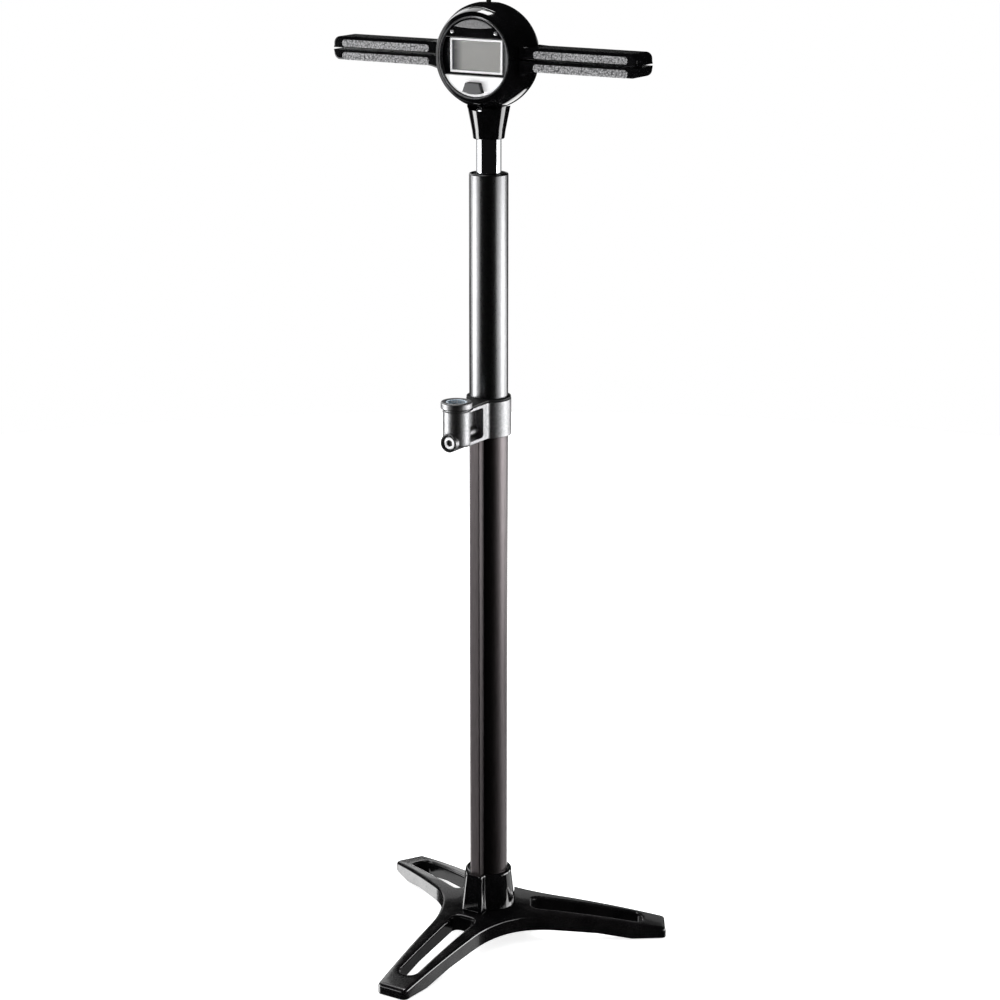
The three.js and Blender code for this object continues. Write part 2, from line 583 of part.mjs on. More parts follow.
function buttonShape(grow) {
  const { top, foot, topHalf, footHalf, sag } = BUTTON;
  const shape = new THREE.Shape();
  shape.moveTo(topHalf + grow, top + grow);
  shape.lineTo(-topHalf - grow, top + grow);
  shape.lineTo(-footHalf - grow, foot - grow);
  shape.quadraticCurveTo(0, foot - 2 * sag - grow, footHalf + grow, foot - grow);
  return shape;
}

function badgeShape() {
  const { r, half, sag } = BADGE;
  const corner = Math.acos(half / r);
  const shape = new THREE.Shape();
  shape.absarc(0, 0, r, corner, Math.PI - corner, false);
  shape.quadraticCurveTo(0, r * Math.sin(corner) - 2 * sag, half, r * Math.sin(corner));
  return shape;
}

const screwSpots = [-18.9, 18.9];
const FACE_SCREW_Z = 18.6;

function buildFace() {
  const sinks = screwSpots.flatMap((x) => [
    rodAlongY(1.2, FACE_FRONT - OVER, FACE_BACK + OVER, x, HEAD_Z + FACE_SCREW_Z, SMALL),
    rodAlongY(2, FACE_FRONT - OVER, FACE_FRONT + 1, x, HEAD_Z + FACE_SCREW_Z, SMALL),
  ]);
  const crescent = facePrism(discBand(FACE_R, BAND_TOP, FACE_R), FACE_FRONT, FACE_BACK, LONG_ARC);
  add('face_panel', cut(crescent, ...sinks), GLOSS_BLACK);
  add('badge_plate', facePrism(badgeShape(), FACE_FRONT - 1.1, FACE_FRONT - GAP, LONG_ARC), CAST_METAL);
  screwSpots.forEach((x, i) => {
    const screw = turned([[0, 0], [1.2, 0], [1.7, 0.5], [1.7, 1.1], [0.9, 1.1], [0.9, 4], [0, 4]], SMALL);
    const name = `face_screw_${i === 0 ? 'left' : 'right'}`;
    add(name, alongY(screw, FACE_FRONT - 0.4, x, HEAD_Z + FACE_SCREW_Z), BRIGHT_METAL);
  });
  add('lower_plate', cut(
    facePrism(discBand(FACE_R, -FACE_R, BAND_FOOT), FACE_FRONT, FACE_BACK, LONG_ARC),
    facePrism(buttonShape(GAP), FACE_FRONT - OVER, FACE_BACK + OVER),
  ), SILVER_PLASTIC);
  const tray = facePrism(discBand(FACE_R, BAND_FOOT, BAND_TOP), FACE_BACK + GAP, -15, LONG_ARC);
  add('display_tray', tray, GLOSS_BLACK);
}

function buildDisplay() {
  const { half, foot, top, rim, front } = LCD;
  const outer = rectangle(-half, half, foot, top, 0);
  outer.holes.push(rectangle(-half + rim, half - rim, foot + rim, top - rim, 0));
  const inner = () => rectangle(-half + rim + GAP, half - rim - GAP, foot + rim + GAP, top - rim - GAP, 0);
  add('lcd_frame', facePrism(outer, front, FACE_BACK), SILVER_PLASTIC);
  add('lcd_panel', facePrism(inner(), front + 0.7, FACE_BACK), DISPLAY_GREY);
  add('display_window', facePrism(inner(), front + 0.1, front + 0.4), finish(0xd8dcdc, 0.05, 0));
}

function buildElectronics() {
  add('mode_button', join(
    facePrism(buttonShape(0), BUTTON.front, -15.8),
    facePrism(rectangle(-9, 9, -26.4, -16, 0), -16.2, -15.2),
  ), SILVER_PLASTIC);
  add('mode_switch', block(-2.5, 2.5, -14.2, -13.3, HEAD_Z - 24, HEAD_Z - 19), BLACK_PLASTIC);
  add('circuit_board', rodAlongY(FACE_R - 0.6, -13, -11.9, 0, HEAD_Z), BOARD_GREEN);
  add('pressure_sensor', block(8, 15, -14.7, -13.3, HEAD_Z + 4, HEAD_Z + 11), DARK_METAL);
  add('battery', rodAlongY(COIN.r, 12.2, 15.4, 0, HEAD_Z), BRIGHT_METAL);
  add('battery_cover', cut(
    rodAlongY(COIN.doorR, 16, 19.2, 0, HEAD_Z),
    block(-7, 7, 18, 21, HEAD_Z - 0.9, HEAD_Z + 0.9),
  ), BLACK_PLASTIC);
}

// ---- handle -------------------------------------------------------------------------------

// Both arms are drawn for the +X side and mirrored for the -X side.
const mirrored = (geometry, side) => (side > 0 ? geometry : geometry.scale(-1, 1, 1));

const inArm = (x0, x1, half, z0, z1) => block(x0, x1, -half, half, HEAD_Z + z0, HEAD_Z + z1);

function insertSolid(foot, top, bridgeFoot, grow) {
  const radius = 2.6;
  const strip = () => rectangle(INSERT.inner - grow, INSERT.outer + grow, foot - grow, top + grow, radius);
  const bridges = [60, 85, 110].map((x) =>
    inArm(x - 2 - grow, x + 2 + grow, INSERT.back + 0.5, bridgeFoot - grow, bridgeFoot + 1.6 + grow));
  return join(
    facePrism(strip(), -INSERT.face - grow, -INSERT.back + grow, 2),
    facePrism(strip(), INSERT.back - grow, INSERT.face + grow, 2),
    ...bridges,
  );
}

function buildArm(side) {
  const name = side > 0 ? 'right' : 'left';
  const { end, half, top, foot, grooveTop, grooveFoot } = ARM;
  const root = FLAT_X + GAP;
  const upperShape = new THREE.Shape();
  upperShape.moveTo(root, grooveTop);
  upperShape.lineTo(end, grooveTop);
  upperShape.absarc(end - 5, top - 5, 5, 0, Math.PI / 2, false);
  upperShape.lineTo(46, top);
  upperShape.lineTo(root, top + 0.6);
  const lowerShape = new THREE.Shape();
  lowerShape.moveTo(root, grooveFoot);
  lowerShape.lineTo(root, -13.3);
  lowerShape.quadraticCurveTo(40, foot, 50, foot);
  lowerShape.absarc(end - 5, foot + 5, 5, -Math.PI / 2, 0, false);
  lowerShape.lineTo(end, grooveFoot);
  const coreRoom = () =>
    inArm(root - OVER, CORE.outer + GAP, CORE.half + GAP, CORE.foot - GAP, CORE.top + GAP);
  const inserts = {
    upper: (grow) => insertSolid(INSERT.mid, INSERT.top, 4.6, grow),
    lower: (grow) => insertSolid(foot, INSERT.low, -6.6, grow),
  };
  const shells = { upper: upperShape, lower: lowerShape };
  for (const part of ['upper', 'lower']) {
    const shell = cut(facePrism(shells[part], -half, half), coreRoom(), inserts[part](GAP));
    add(`${name}_grip_${part}`, mirrored(shell, side), BLACK_PLASTIC);
    add(`${name}_grip_insert_${part}`, mirrored(inserts[part](0), side), GRIP_GREY);
  }
  const core = inArm(CORE.inner, CORE.outer, CORE.half, CORE.foot, CORE.top);
  add(`${name}_handle_core`, mirrored(core, side), DARK_METAL);
}

buildBase();
buildSocket();
buildFootValve();
buildBarrel();
buildCollar();
buildPortPlug();
buildPiston();
buildHead();
buildFace();
buildDisplay();
buildElectronics();
buildArm(-1);
buildArm(1);

// The origin is the middle of the floor area that the pump covers.
const extent = new THREE.Box3().setFromObject(pump, true);
pump.position.set(0, -(extent.min.y + extent.max.y) / 2, -extent.min.z);

export default pump;
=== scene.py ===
"""Floor bike pump: finished surfaces, materials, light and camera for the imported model.

Shapes are drawn in millimetres from the barrel's axis and go to the row frame, in metres, in place().
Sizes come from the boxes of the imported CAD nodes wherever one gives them.
"""
import json
import math

import bmesh
import bpy
import numpy as np
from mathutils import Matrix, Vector, noise
from mathutils.geometry import delaunay_2d_cdt


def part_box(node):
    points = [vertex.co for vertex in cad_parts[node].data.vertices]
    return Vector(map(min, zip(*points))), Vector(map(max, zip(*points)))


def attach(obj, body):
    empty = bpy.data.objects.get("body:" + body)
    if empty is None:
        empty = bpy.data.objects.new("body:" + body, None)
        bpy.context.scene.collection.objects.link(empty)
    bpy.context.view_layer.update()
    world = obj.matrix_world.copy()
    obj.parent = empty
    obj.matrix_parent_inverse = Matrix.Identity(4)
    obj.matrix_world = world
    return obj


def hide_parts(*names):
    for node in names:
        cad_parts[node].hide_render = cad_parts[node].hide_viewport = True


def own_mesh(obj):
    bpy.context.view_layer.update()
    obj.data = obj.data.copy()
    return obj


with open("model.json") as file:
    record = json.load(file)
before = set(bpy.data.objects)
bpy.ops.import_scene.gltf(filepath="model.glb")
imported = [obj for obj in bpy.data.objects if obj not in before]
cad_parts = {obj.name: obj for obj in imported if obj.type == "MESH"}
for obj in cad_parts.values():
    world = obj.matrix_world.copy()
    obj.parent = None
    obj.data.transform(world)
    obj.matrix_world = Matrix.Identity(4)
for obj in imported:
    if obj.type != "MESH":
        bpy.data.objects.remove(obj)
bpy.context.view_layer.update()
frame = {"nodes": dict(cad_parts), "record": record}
MM = 0.001
RECORD = frame["record"]
BODY_OF = {node: body for body, nodes in RECORD["behaviour"]["bodies"].items() for node in nodes}
SLOT_OF = {entry["node"]: entry["material_slot"] for entry in RECORD["subparts"]}
ROD_LOW, ROD_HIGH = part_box("piston_rod")
POLE_Y = (ROD_LOW[1] + ROD_HIGH[1]) / 2 / MM


class Span:
    """A CAD node's box in millimetres, measured from the barrel's axis."""

    def __init__(self, node):
        low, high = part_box(node)
        self.x0, self.y0, self.z0 = low[0] / MM, low[1] / MM - POLE_Y, low[2] / MM
        self.x1, self.y1, self.z1 = high[0] / MM, high[1] / MM - POLE_Y, high[2] / MM
        self.r = (self.x1 - self.x0) / 2
        self.mid_y = (self.y0 + self.y1) / 2
        self.mid_z = (self.z0 + self.z1) / 2
        self.front_middle = (self.x0 + self.x1) / 2, self.mid_z


ROD = Span("piston_rod")
UPPER = Span("upper_barrel")
LOWER = Span("lower_barrel")
WIPER = Span("rod_wiper")
SOCKET = Span("base_socket")
BASE = Span("base_casting")
COLLAR = Span("collar_body")
CAP = Span("collar_cap")
MAGNET = Span("port_magnet")
SEAL = Span("port_seal")
PLUG = Span("port_plug_screw")
PLUG_SEAL = Span("port_plug_seal")
HEAD = Span("head_body")
BEZEL = Span("head_bezel")
REAR = Span("head_rear_cover")
TRIM = Span("bezel_trim_ring")
NECK = Span("neck")
TAB = Span("storage_plug")
PANEL = Span("face_panel")
PLATE = Span("lower_plate")
TRAY = Span("display_tray")
BADGE = Span("badge_plate")
LCD_FRAME = Span("lcd_frame")
LCD = Span("lcd_panel")
WINDOW = Span("display_window")
BUTTON = Span("mode_button")
DOOR = Span("battery_cover")
SPRING = Span("foot_valve_spring")

HEAD_Z = TRIM.mid_z           # height of the head's and the handle's centre line
SIDES = 128                   # sides of a large round piece
FINE = 64                     # sides of a small round piece
GAP = 0.3                     # play between pieces that fit together
ROD_HOLE = ROD.r + GAP
ROD_BORE = 7.6
BARREL_HOLE = UPPER.r + GAP
BARREL_BORE = 13.5
RAIL_HALF = 4.4               # half the width of the air rail on the barrel's front
SAME_POINT = 1e-7             # metres between points that are one as drawn
WELD = 2e-6                   # metres between points that are one after cutting and joining


# ---- outlines ----

def arc(cx, cy, r, start, end, steps):
    """Points on a circle from one angle to another, in degrees, both ends included."""
    angles = [math.radians(start + (end - start) * i / steps) for i in range(steps + 1)]
    return [(cx + r * math.cos(a), cy + r * math.sin(a)) for a in angles]


def circle(r, sides=SIDES, cx=0.0, cy=0.0):
    return arc(cx, cy, r, 0, 360, sides)[:-1]


def rounded(corners, steps=6):
    """A closed outline whose corners are rounded, from (x, y, radius) points."""
    points = []
    for i, (x, y, r) in enumerate(corners):
        here = Vector((x, y))
        if r == 0:
            points.append((x, y))
            continue
        back = (Vector(corners[i - 1][:2]) - here).normalized()
        ahead = (Vector(corners[(i + 1) % len(corners)][:2]) - here).normalized()
        half = math.acos(max(-1, min(1, back.dot(ahead)))) / 2
        centre = here + (back + ahead).normalized() * r / math.sin(half)
        start = here + back * r / math.tan(half) - centre
        end = here + ahead * r / math.tan(half) - centre
        turn = math.atan2(start.x * end.y - start.y * end.x, start.dot(end))
        first = math.atan2(start.y, start.x)
        for k in range(steps + 1):
            a = first + turn * k / steps
            points.append((centre.x + r * math.cos(a), centre.y + r * math.sin(a)))
    return points


def rectangle(x0, x1, y0, y1, r=0.0, steps=6):
    return rounded([(x0, y0, r), (x1, y0, r), (x1, y1, r), (x0, y1, r)], steps)


def area(loop):
    return sum(a[0] * b[1] - b[0] * a[1] for a, b in zip(loop, loop[1:] + loop[:1])) / 2


def wound(loop, counter_clockwise):
    return loop if (area(loop) > 0) == counter_clockwise else loop[::-1]


def dense(loop, gap):
    """The same closed outline with no stretch longer than gap."""
    points = []
    for (ax, ay), (bx, by) in zip(loop, loop[1:] + loop[:1]):
        count = max(1, math.ceil(math.dist((ax, ay), (bx, by)) / gap))
        points += [(ax + (bx - ax) * k / count, ay + (by - ay) * k / count) for k in range(count)]
    return points


def moved_in(loop, distances):
    """The outline moved to its left by a distance at each point."""
    result = []
    for i, (x, y) in enumerate(loop):
        before = (Vector((x, y)) - Vector(loop[i - 1])).normalized()
        after = (Vector(loop[(i + 1) % len(loop)]) - Vector((x, y))).normalized()
        across = Vector((-before.y - after.y, before.x + after.x))
        scale = 2 / max(across.length_squared, 0.5)
        result.append((x + across.x * scale * distances[i], y + across.y * scale * distances[i]))
    return result


def inside(points, loops):
    """Which points lie inside the outlines, holes left out."""
    result = np.zeros(len(points), bool)
    for loop in loops:
        x, y = np.array(loop).T
        x2, y2 = np.roll(x, -1), np.roll(y, -1)
        rise = np.where(y2 == y, 1e-9, y2 - y)
        for i, (px, py) in enumerate(points):
            crossed = ((y > py) != (y2 > py)) & (px < (x2 - x) * (py - y) / rise + x)
            result[i] ^= bool(crossed.sum() % 2)
    return result


# ---- meshes: each is a list of (x, y, z) points in millimetres and a list of faces ----

def fill(loops, grid):
    """Flat points and triangles that fill the outlines, with inner points if a grid spacing is given."""
    points = [p for loop in loops for p in loop]
    edges, start = [], 0
    for loop in loops:
        edges += [(start + i, start + (i + 1) % len(loop)) for i in range(len(loop))]
        start += len(loop)
    if grid:
        rim = np.array(points)
        low, high = rim.min(0), rim.max(0)
        spots = [(x + (row % 2) * grid / 2, y)
                 for row, y in enumerate(np.arange(low[1], high[1], grid * 0.866))
                 for x in np.arange(low[0], high[0], grid)]
        clear = [s for s in spots if np.hypot(*(rim - s).T).min() > grid * 0.6]
        points += [s for s, kept in zip(clear, inside(clear, loops)) if kept]
    spots, _, triangles, origins, _, _ = delaunay_2d_cdt([Vector(p) for p in points], edges, [], 0, 1e-6)
    middles = [tuple(sum((spots[i] for i in t), Vector((0, 0))) / 3) for t in triangles]
    nearest = lambda spot: int(np.hypot(*(np.array(points) - spot).T).argmin())
    index = [origin[0] if origin else nearest(spot) for spot, origin in zip(spots, origins)]
    kept = inside(middles, loops)
    return points, [[index[i] for i in t] for t, keep in zip(triangles, kept) if keep]


def slab(outer, holes, bottom, top, low_round=0.0, high_round=0.0, grid=None, steps=5):
    """A plate with rounded rims. bottom and top are heights or functions of (x, y); each rounding is a
    radius or a function of (x, y)."""
    as_function = lambda value: value if callable(value) else (lambda x, y: value)
    bottom, top, low_round, high_round = map(as_function, (bottom, top, low_round, high_round))
    loops = [wound(outer, True)] + [wound(hole, False) for hole in holes]
    points, faces = [], []
    low_caps, high_caps = [], []
    for loop in loops:
        rings = []
        low_r = [low_round(*p) for p in loop]
        high_r = [high_round(*p) for p in loop]
        quarter = [math.pi / 2 * k / steps for k in range(steps + 1)]
        if max(low_r) > 0:
            for a in quarter[:-1]:
                inset = moved_in(loop, [r * (1 - math.sin(a)) for r in low_r])
                rings.append([(x, y, bottom(x, y) + r * (1 - math.cos(a)))
                              for (x, y), r in zip(inset, low_r)])
        rings.append([(x, y, bottom(x, y) + r) for (x, y), r in zip(loop, low_r)])
        rings.append([(x, y, top(x, y) - r) for (x, y), r in zip(loop, high_r)])
        if max(high_r) > 0:
            for a in quarter[1:]:
                inset = moved_in(loop, [r * (1 - math.cos(a)) for r in high_r])
                rings.append([(x, y, top(x, y) - r * (1 - math.sin(a)))
                              for (x, y), r in zip(inset, high_r)])
        start, n = len(points), len(loop)
        points += [p for ring in rings for p in ring]
        for k in range(len(rings) - 1):
            for i in range(n):
                a, b = start + k * n + i, start + k * n + (i + 1) % n
                faces.append([a, b, b + n, a + n])
        low_caps.append((start, [p[:2] for p in rings[0]]))
        high_caps.append((start + (len(rings) - 1) * n, [p[:2] for p in rings[-1]]))
    for caps, height in ((low_caps, bottom), (high_caps, top)):
        flat, triangles = fill([loop for _, loop in caps], grid)
        index = [first + i for first, loop in caps for i in range(len(loop))]
        for x, y in flat[len(index):]:
            index.append(len(points))
            points.append((x, y, height(x, y)))
        faces += [[index[i] for i in t] for t in triangles]
    return points, faces


def lathe(profile, sides=SIDES):
    """A round solid about Z, from (radius, height) points; a profile off the axis closes on itself."""
    points, faces, rings = [], [], []
    for r, h in profile:
        if r < 1e-6:
            rings.append([len(points)] * sides)
            points.append((0, 0, h))
        else:
            rings.append([len(points) + i for i in range(sides)])
            points += [(x, y, h) for x, y in circle(r, sides)]
    on_axis = profile[0][0] < 1e-6 and profile[-1][0] < 1e-6
    pairs = list(zip(rings, rings[1:])) + ([] if on_axis else [(rings[-1], rings[0])])
    for low, high in pairs:
        for i in range(sides):
            j = (i + 1) % sides
            face = list(dict.fromkeys([low[i], low[j], high[j], high[i]]))
            if len(face) > 2:
                faces.append(face)
    return points, faces


def ring(r, bore, z0, z1, edge=0.3, sides=FINE):
    return lathe(rectangle(bore, r, z0, z1, edge, 3), sides)


def disc(r, z0, z1, edge=0.3, sides=FINE):
    profile = [(0, z0)] + rounded([(0, z0, 0), (r, z0, edge), (r, z1, edge), (0, z1, 0)], 3)[1:]
    return lathe(profile, sides)


def shifted(mesh, x=0.0, y=0.0, z=0.0):
    return [(a + x, b + y, c + z) for a, b, c in mesh[0]], mesh[1]


def along_y(mesh, x=0.0, z=0.0):
    """Lays a mesh down so that its +Z points along -Y, towards the front."""
    return [(a + x, -c, b + z) for a, b, c in mesh[0]], mesh[1]


def on_face(mesh):
    """From a drawing of the head's face: x, height above its centre, distance towards the front."""
    return along_y(mesh, 0, HEAD_Z)


def merged(*meshes):
    points, faces = [], []
    for more_points, more_faces in meshes:
        faces += [[i + len(points) for i in face] for face in more_faces]
        points += more_points
    return points, faces


def mirrored(mesh):
    return [(-x, y, z) for x, y, z in mesh[0]], mesh[1]


# ---- objects ----

def cleaned(data, gap):
    """Joins points closer than the gap, drops stray faces, shuts holes and turns the faces outwards."""
    bm = bmesh.new()
    bm.from_mesh(data)
    bmesh.ops.remove_doubles(bm, verts=bm.verts, dist=gap)
    bmesh.ops.dissolve_degenerate(bm, edges=bm.edges, dist=gap)
    stray = [face for face in bm.faces if any(edge.is_boundary for edge in face.edges)
             and any(len(edge.link_faces) > 2 for edge in face.edges)]
    bmesh.ops.delete(bm, geom=stray, context="FACES")
    bmesh.ops.holes_fill(bm, edges=[edge for edge in bm.edges if edge.is_boundary])
    bmesh.ops.recalc_face_normals(bm, faces=bm.faces)
    bm.to_mesh(data)
    bm.free()


def place(name, mesh):
    """An object made of a mesh, in the row frame."""
    data = bpy.data.meshes.new(name)
    points, faces = mesh
    data.from_pydata([(x * MM, (y + POLE_Y) * MM, z * MM) for x, y, z in points], [], faces)
    cleaned(data, SAME_POINT)
    obj = bpy.data.objects.new(name, data)
    bpy.context.scene.collection.objects.link(obj)
    return obj


def settled(obj):
    """Turns an object's modifiers into its mesh."""
    graph = bpy.context.evaluated_depsgraph_get()
    obj.data = bpy.data.meshes.new_from_object(obj.evaluated_get(graph))
    obj.modifiers.clear()


def combined(obj, operation, *meshes):
    """Adds meshes to an object or cuts them out of it."""
    for mesh in meshes:
        tool = place("tool", mesh)
        change = obj.modifiers.new("change", "BOOLEAN")
        change.operation = operation
        change.solver = "EXACT"
        change.use_hole_tolerant = True
        change.object = tool
        settled(obj)
        bpy.data.objects.remove(tool)


def finished(obj, look, node, sharp=32):
    """Gives an object its material, and puts it in place of its CAD node."""
    data = obj.data
    cleaned(data, WELD)
    data.materials.clear()
    data.materials.append(look.material)
    data.shade_smooth()
    data.set_sharp_from_angle(angle=math.radians(sharp))
    normals = obj.modifiers.new("normals", "WEIGHTED_NORMAL")
    normals.keep_sharp = True
    settled(obj)
    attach(obj, BODY_OF[node])
    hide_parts(node)
    return obj


def piece(mesh, look, node, sharp=32, add=(), cut=()):
    """A finished piece made of a mesh, with others added and then others cut out."""
    obj = place(node + "_finished", mesh)
    combined(obj, "UNION", *add)
    combined(obj, "DIFFERENCE", *cut)
    return finished(obj, look, node, sharp)


# ---- materials ----

class Look:
    """A procedural material on the Principled shader, with its texture read in object space."""

    def __init__(self, name, metallic=0.0, **sockets):
        self.material = bpy.data.materials.new(name)
        self.material.use_nodes = True
        self.tree = self.material.node_tree
        self.shader = self.tree.nodes["Principled BSDF"]
        self.shader.inputs["Metallic"].default_value = metallic
        for socket, value in sockets.items():
            self.shader.inputs[socket.replace("_", " ")].default_value = value
        self.coords = self.node("ShaderNodeTexCoord").outputs["Object"]

    def node(self, kind, **values):
        node = self.tree.nodes.new(kind)
        for key, value in values.items():
            if hasattr(node, key):
                setattr(node, key, value)
            else:
                node.inputs[key.replace("_", " ")].default_value = value
        return node

    def link(self, output, node, socket):
        self.tree.links.new(output, node.inputs[socket])

    def read(self, source):
        """The output of a node, or of a noise whose arguments are given."""
        return self.noise(*source) if isinstance(source, tuple) else source

    def noise(self, size_mm, detail=3.0, roughness=0.5, stretch=(1, 1, 1)):
        """Cloudy noise with features of about size_mm, stretched along an axis if asked."""
        mapping = self.node("ShaderNodeMapping")
        mapping.inputs["Scale"].default_value = [1 / (size_mm * MM * s) for s in stretch]
        self.link(self.coords, mapping, "Vector")
        texture = self.node("ShaderNodeTexNoise", Scale=1.0, Detail=detail, Roughness=roughness)
        self.link(mapping.outputs["Vector"], texture, "Vector")
        return texture.outputs["Fac"]

    def cells(self, size_mm):
        """Distance to the middle of the nearest of many cells."""
        texture = self.node("ShaderNodeTexVoronoi", feature="F1", Scale=1 / (size_mm * MM))
        self.link(self.coords, texture, "Vector")
        return texture.outputs["Distance"]

    def along(self, axis, low_mm, high_mm):
        """0 to 1 along an axis of the row frame."""
        split = self.node("ShaderNodeSeparateXYZ")
        self.link(self.coords, split, "Vector")
        return self.ranged(split.outputs[axis], low_mm * MM, high_mm * MM, 0, 1)

    def ranged(self, value, low, high, to_low, to_high):
        node = self.node("ShaderNodeMapRange", clamp=True)
        ends = {"From Min": low, "From Max": high, "To Min": to_low, "To Max": to_high}
        for socket, number in ends.items():
            node.inputs[socket].default_value = number
        self.link(value, node, "Value")
        return node.outputs["Result"]

    def times(self, a, b):
        node = self.node("ShaderNodeMath", operation="MULTIPLY")
        self.tree.links.new(a, node.inputs[0])
        self.tree.links.new(b, node.inputs[1])
        return node.outputs[0]

    def colour(self, source, dark, light, low=0.35, high=0.65):
        ramp = self.node("ShaderNodeValToRGB")
        ramp.color_ramp.elements[0].position = low
        ramp.color_ramp.elements[0].color = (*dark, 1)
        ramp.color_ramp.elements[1].position = high
        ramp.color_ramp.elements[1].color = (*light, 1)
        self.link(self.read(source), ramp, "Fac")
        self.link(ramp.outputs["Color"], self.shader, "Base Color")
        return self

    def rough(self, source, low, high):
        self.link(self.ranged(self.read(source), 0.3, 0.7, low, high), self.shader, "Roughness")
        return self

    def bump(self, source, depth_mm):
        node = self.node("ShaderNodeBump", Strength=1.0, Distance=depth_mm * MM)
        self.link(self.read(source), node, "Height")
        self.link(node.outputs["Normal"], self.shader, "Normal")
        return self


def base_paint_look():
    """Gloss black; where the slots' walls are marked, coat and specular drop so that the walls render
    black: painted shade for the shade inside the slots.
    """
    look = Look("base_paint", Coat_Roughness=0.05)
    wall = look.node("ShaderNodeAttribute", attribute_name="shaded_slot_wall").outputs["Fac"]
    # painted shade: the marked slot walls lose their coat and nearly all specular reflection, so they
    # render black
    look.link(look.ranged(wall, 0, 1, 0.5, 0), look.shader, "Coat Weight")
    look.link(look.ranged(wall, 0, 1, 0.5, 0.08), look.shader, "Specular IOR Level")
    look.colour((18,), (0.0015, 0.0015, 0.0017), (0.004, 0.0038, 0.004))
    return look.rough((11, 5), 0.12, 0.24).bump((5, 1), 0.006)


def tray_look():
    """Black on the left, and lighter to the right of the display's frame: painted light where light falls
    on the tray.
    """
    look = Look("display_tray")
    across = look.along("X", LCD_FRAME.x1 - 0.5, LCD_FRAME.x1 + 4)
    # painted light: the tray turns grey to the right of the frame, as if lit there
    look.colour(across, (0.0025, 0.0025, 0.003), (0.22, 0.22, 0.23), 0.0, 1.0)
    return look.rough((6, 3), 0.2, 0.3).bump((3, 1), 0.003)


def grip_grey_look():
    """Light crumbs in a dark ground."""
    look = Look("grip_grey")
    crumbs = look.ranged(look.cells(1.4), 0.1, 0.8, 1, 0.08)
    grains = look.times(crumbs, look.ranged(look.noise(1.0, 3), 0.38, 0.62, 0.5, 1.15))
    look.colour(grains, (0.02, 0.02, 0.022), (0.52, 0.52, 0.53), 0.0, 0.95)
    return look.rough((0.6, 3), 0.5, 0.8).bump(grains, 0.35)


def button_look():
    """Grey on the front face, and dark behind it."""
    look = Look("button_grey")
    depth = look.along("Y", BUTTON.y0 + POLE_Y + 0.25, BUTTON.y0 + POLE_Y + 0.5)
    look.colour(depth, (0.075, 0.075, 0.078), (0.004, 0.004, 0.004), 0.1, 0.9)
    return look.rough((0.5, 3), 0.4, 0.6).bump(look.cells(0.8), 0.05)


def lcd_look():
    """A pale screen with painted shade along its left edge, beside the frame."""
    look = Look("lcd_screen")
    # painted shade: darker over the first 9 mm from the screen's left edge
    across = look.times(look.along("X", LCD.x0, LCD.x0 + 9), look.ranged(look.noise(12), 0, 1, 0.95, 1.05))
    look.colour(across, (0.05, 0.05, 0.06), (0.54, 0.53, 0.51), 0.0, 1.0)
    return look.rough((0.3, 2), 0.35, 0.45)


def plated_look():
    """A bright screw with painted shade in its socket, which turns dark with depth."""
    look = Look("plated_screw", metallic=0.3)
    front = PLUG.y0 + POLE_Y
    # painted shade: the colour turns dark from 0.9 mm behind the screw's face, inside the hex recess
    socket = look.ranged(look.along("Y", front + 0.9, front + 1.4), 0, 1, 0.1, 0.95)
    look.colour(socket, (0.9, 0.9, 0.91), (0.02, 0.02, 0.02), 0.0, 1.0)
    return look.rough((1, 3), 0.35, 0.5).bump((0.4, 3), 0.01)


def plain_look(name, dark, light, low, high, metallic=0.0):
    look = Look(name, metallic).colour((1.5, 4), dark, light)
    return look.rough((1, 3), low, high).bump((0.4, 3), 0.01)


GLOSS = Look("gloss_black", Coat_Weight=0.6, Coat_Roughness=0.03)
GLOSS.colour((14,), (0.0012, 0.0012, 0.0014), (0.0026, 0.0026, 0.003))
GLOSS.rough((9, 4), 0.07, 0.13).bump((3.5, 1), 0.004)
PAINT = base_paint_look()
SATIN = Look("dark_satin_tube", metallic=1.0)
SATIN.colour((1.2, 3, 0.6, (1, 1, 6)), (0.14, 0.14, 0.143), (0.165, 0.165, 0.168))
SATIN.rough((0.5, 2, 0.5, (1, 1, 3)), 0.27, 0.31).bump((0.35, 2, 0.6), 0.0012)
ANODISED = Look("anodised_tube", metallic=1.0)
ANODISED.colour((0.9, 3, 0.6, (1, 1, 14)), (0.088, 0.078, 0.080), (0.105, 0.094, 0.096))
ANODISED.rough((0.7, 3, 0.6, (1, 1, 20)), 0.34, 0.40).bump((0.3, 2, 0.5, (1, 1, 25)), 0.002)
CAST = Look("cast_collar", metallic=1.0)
CAST.colour((2.2, 5, 0.65), (0.20, 0.20, 0.204), (0.29, 0.29, 0.295))
CAST.rough((0.8, 4), 0.38, 0.48).bump((0.4, 3, 0.6), 0.012)
CHROME = Look("chrome_rod", metallic=1.0)
CHROME.colour((20,), (0.78, 0.79, 0.81), (0.84, 0.85, 0.87)).rough((0.6, 2, 0.5, (1, 1, 40)), 0.03, 0.07)
STEEL = Look("bright_steel", metallic=1.0)
STEEL.colour((0.8, 4), (0.58, 0.58, 0.59), (0.78, 0.78, 0.79))
STEEL.rough((0.4, 3), 0.18, 0.32).bump((0.25, 3), 0.004)
RUBBER = Look("black_rubber", Specular_IOR_Level=0.2)
RUBBER.colour((2, 4), (0.004, 0.004, 0.004), (0.009, 0.009, 0.009))
RUBBER.rough((1, 4), 0.4, 0.6).bump((0.3, 4, 0.7), 0.015)
GRIP = Look("grip_black", Coat_Weight=0.15, Coat_Roughness=0.12)
GRIP.colour((5, 4), (0.0015, 0.0015, 0.0017), (0.004, 0.004, 0.0045))
GRIP.rough((3, 5), 0.10, 0.18).bump((0.5, 3, 0.6), 0.006)
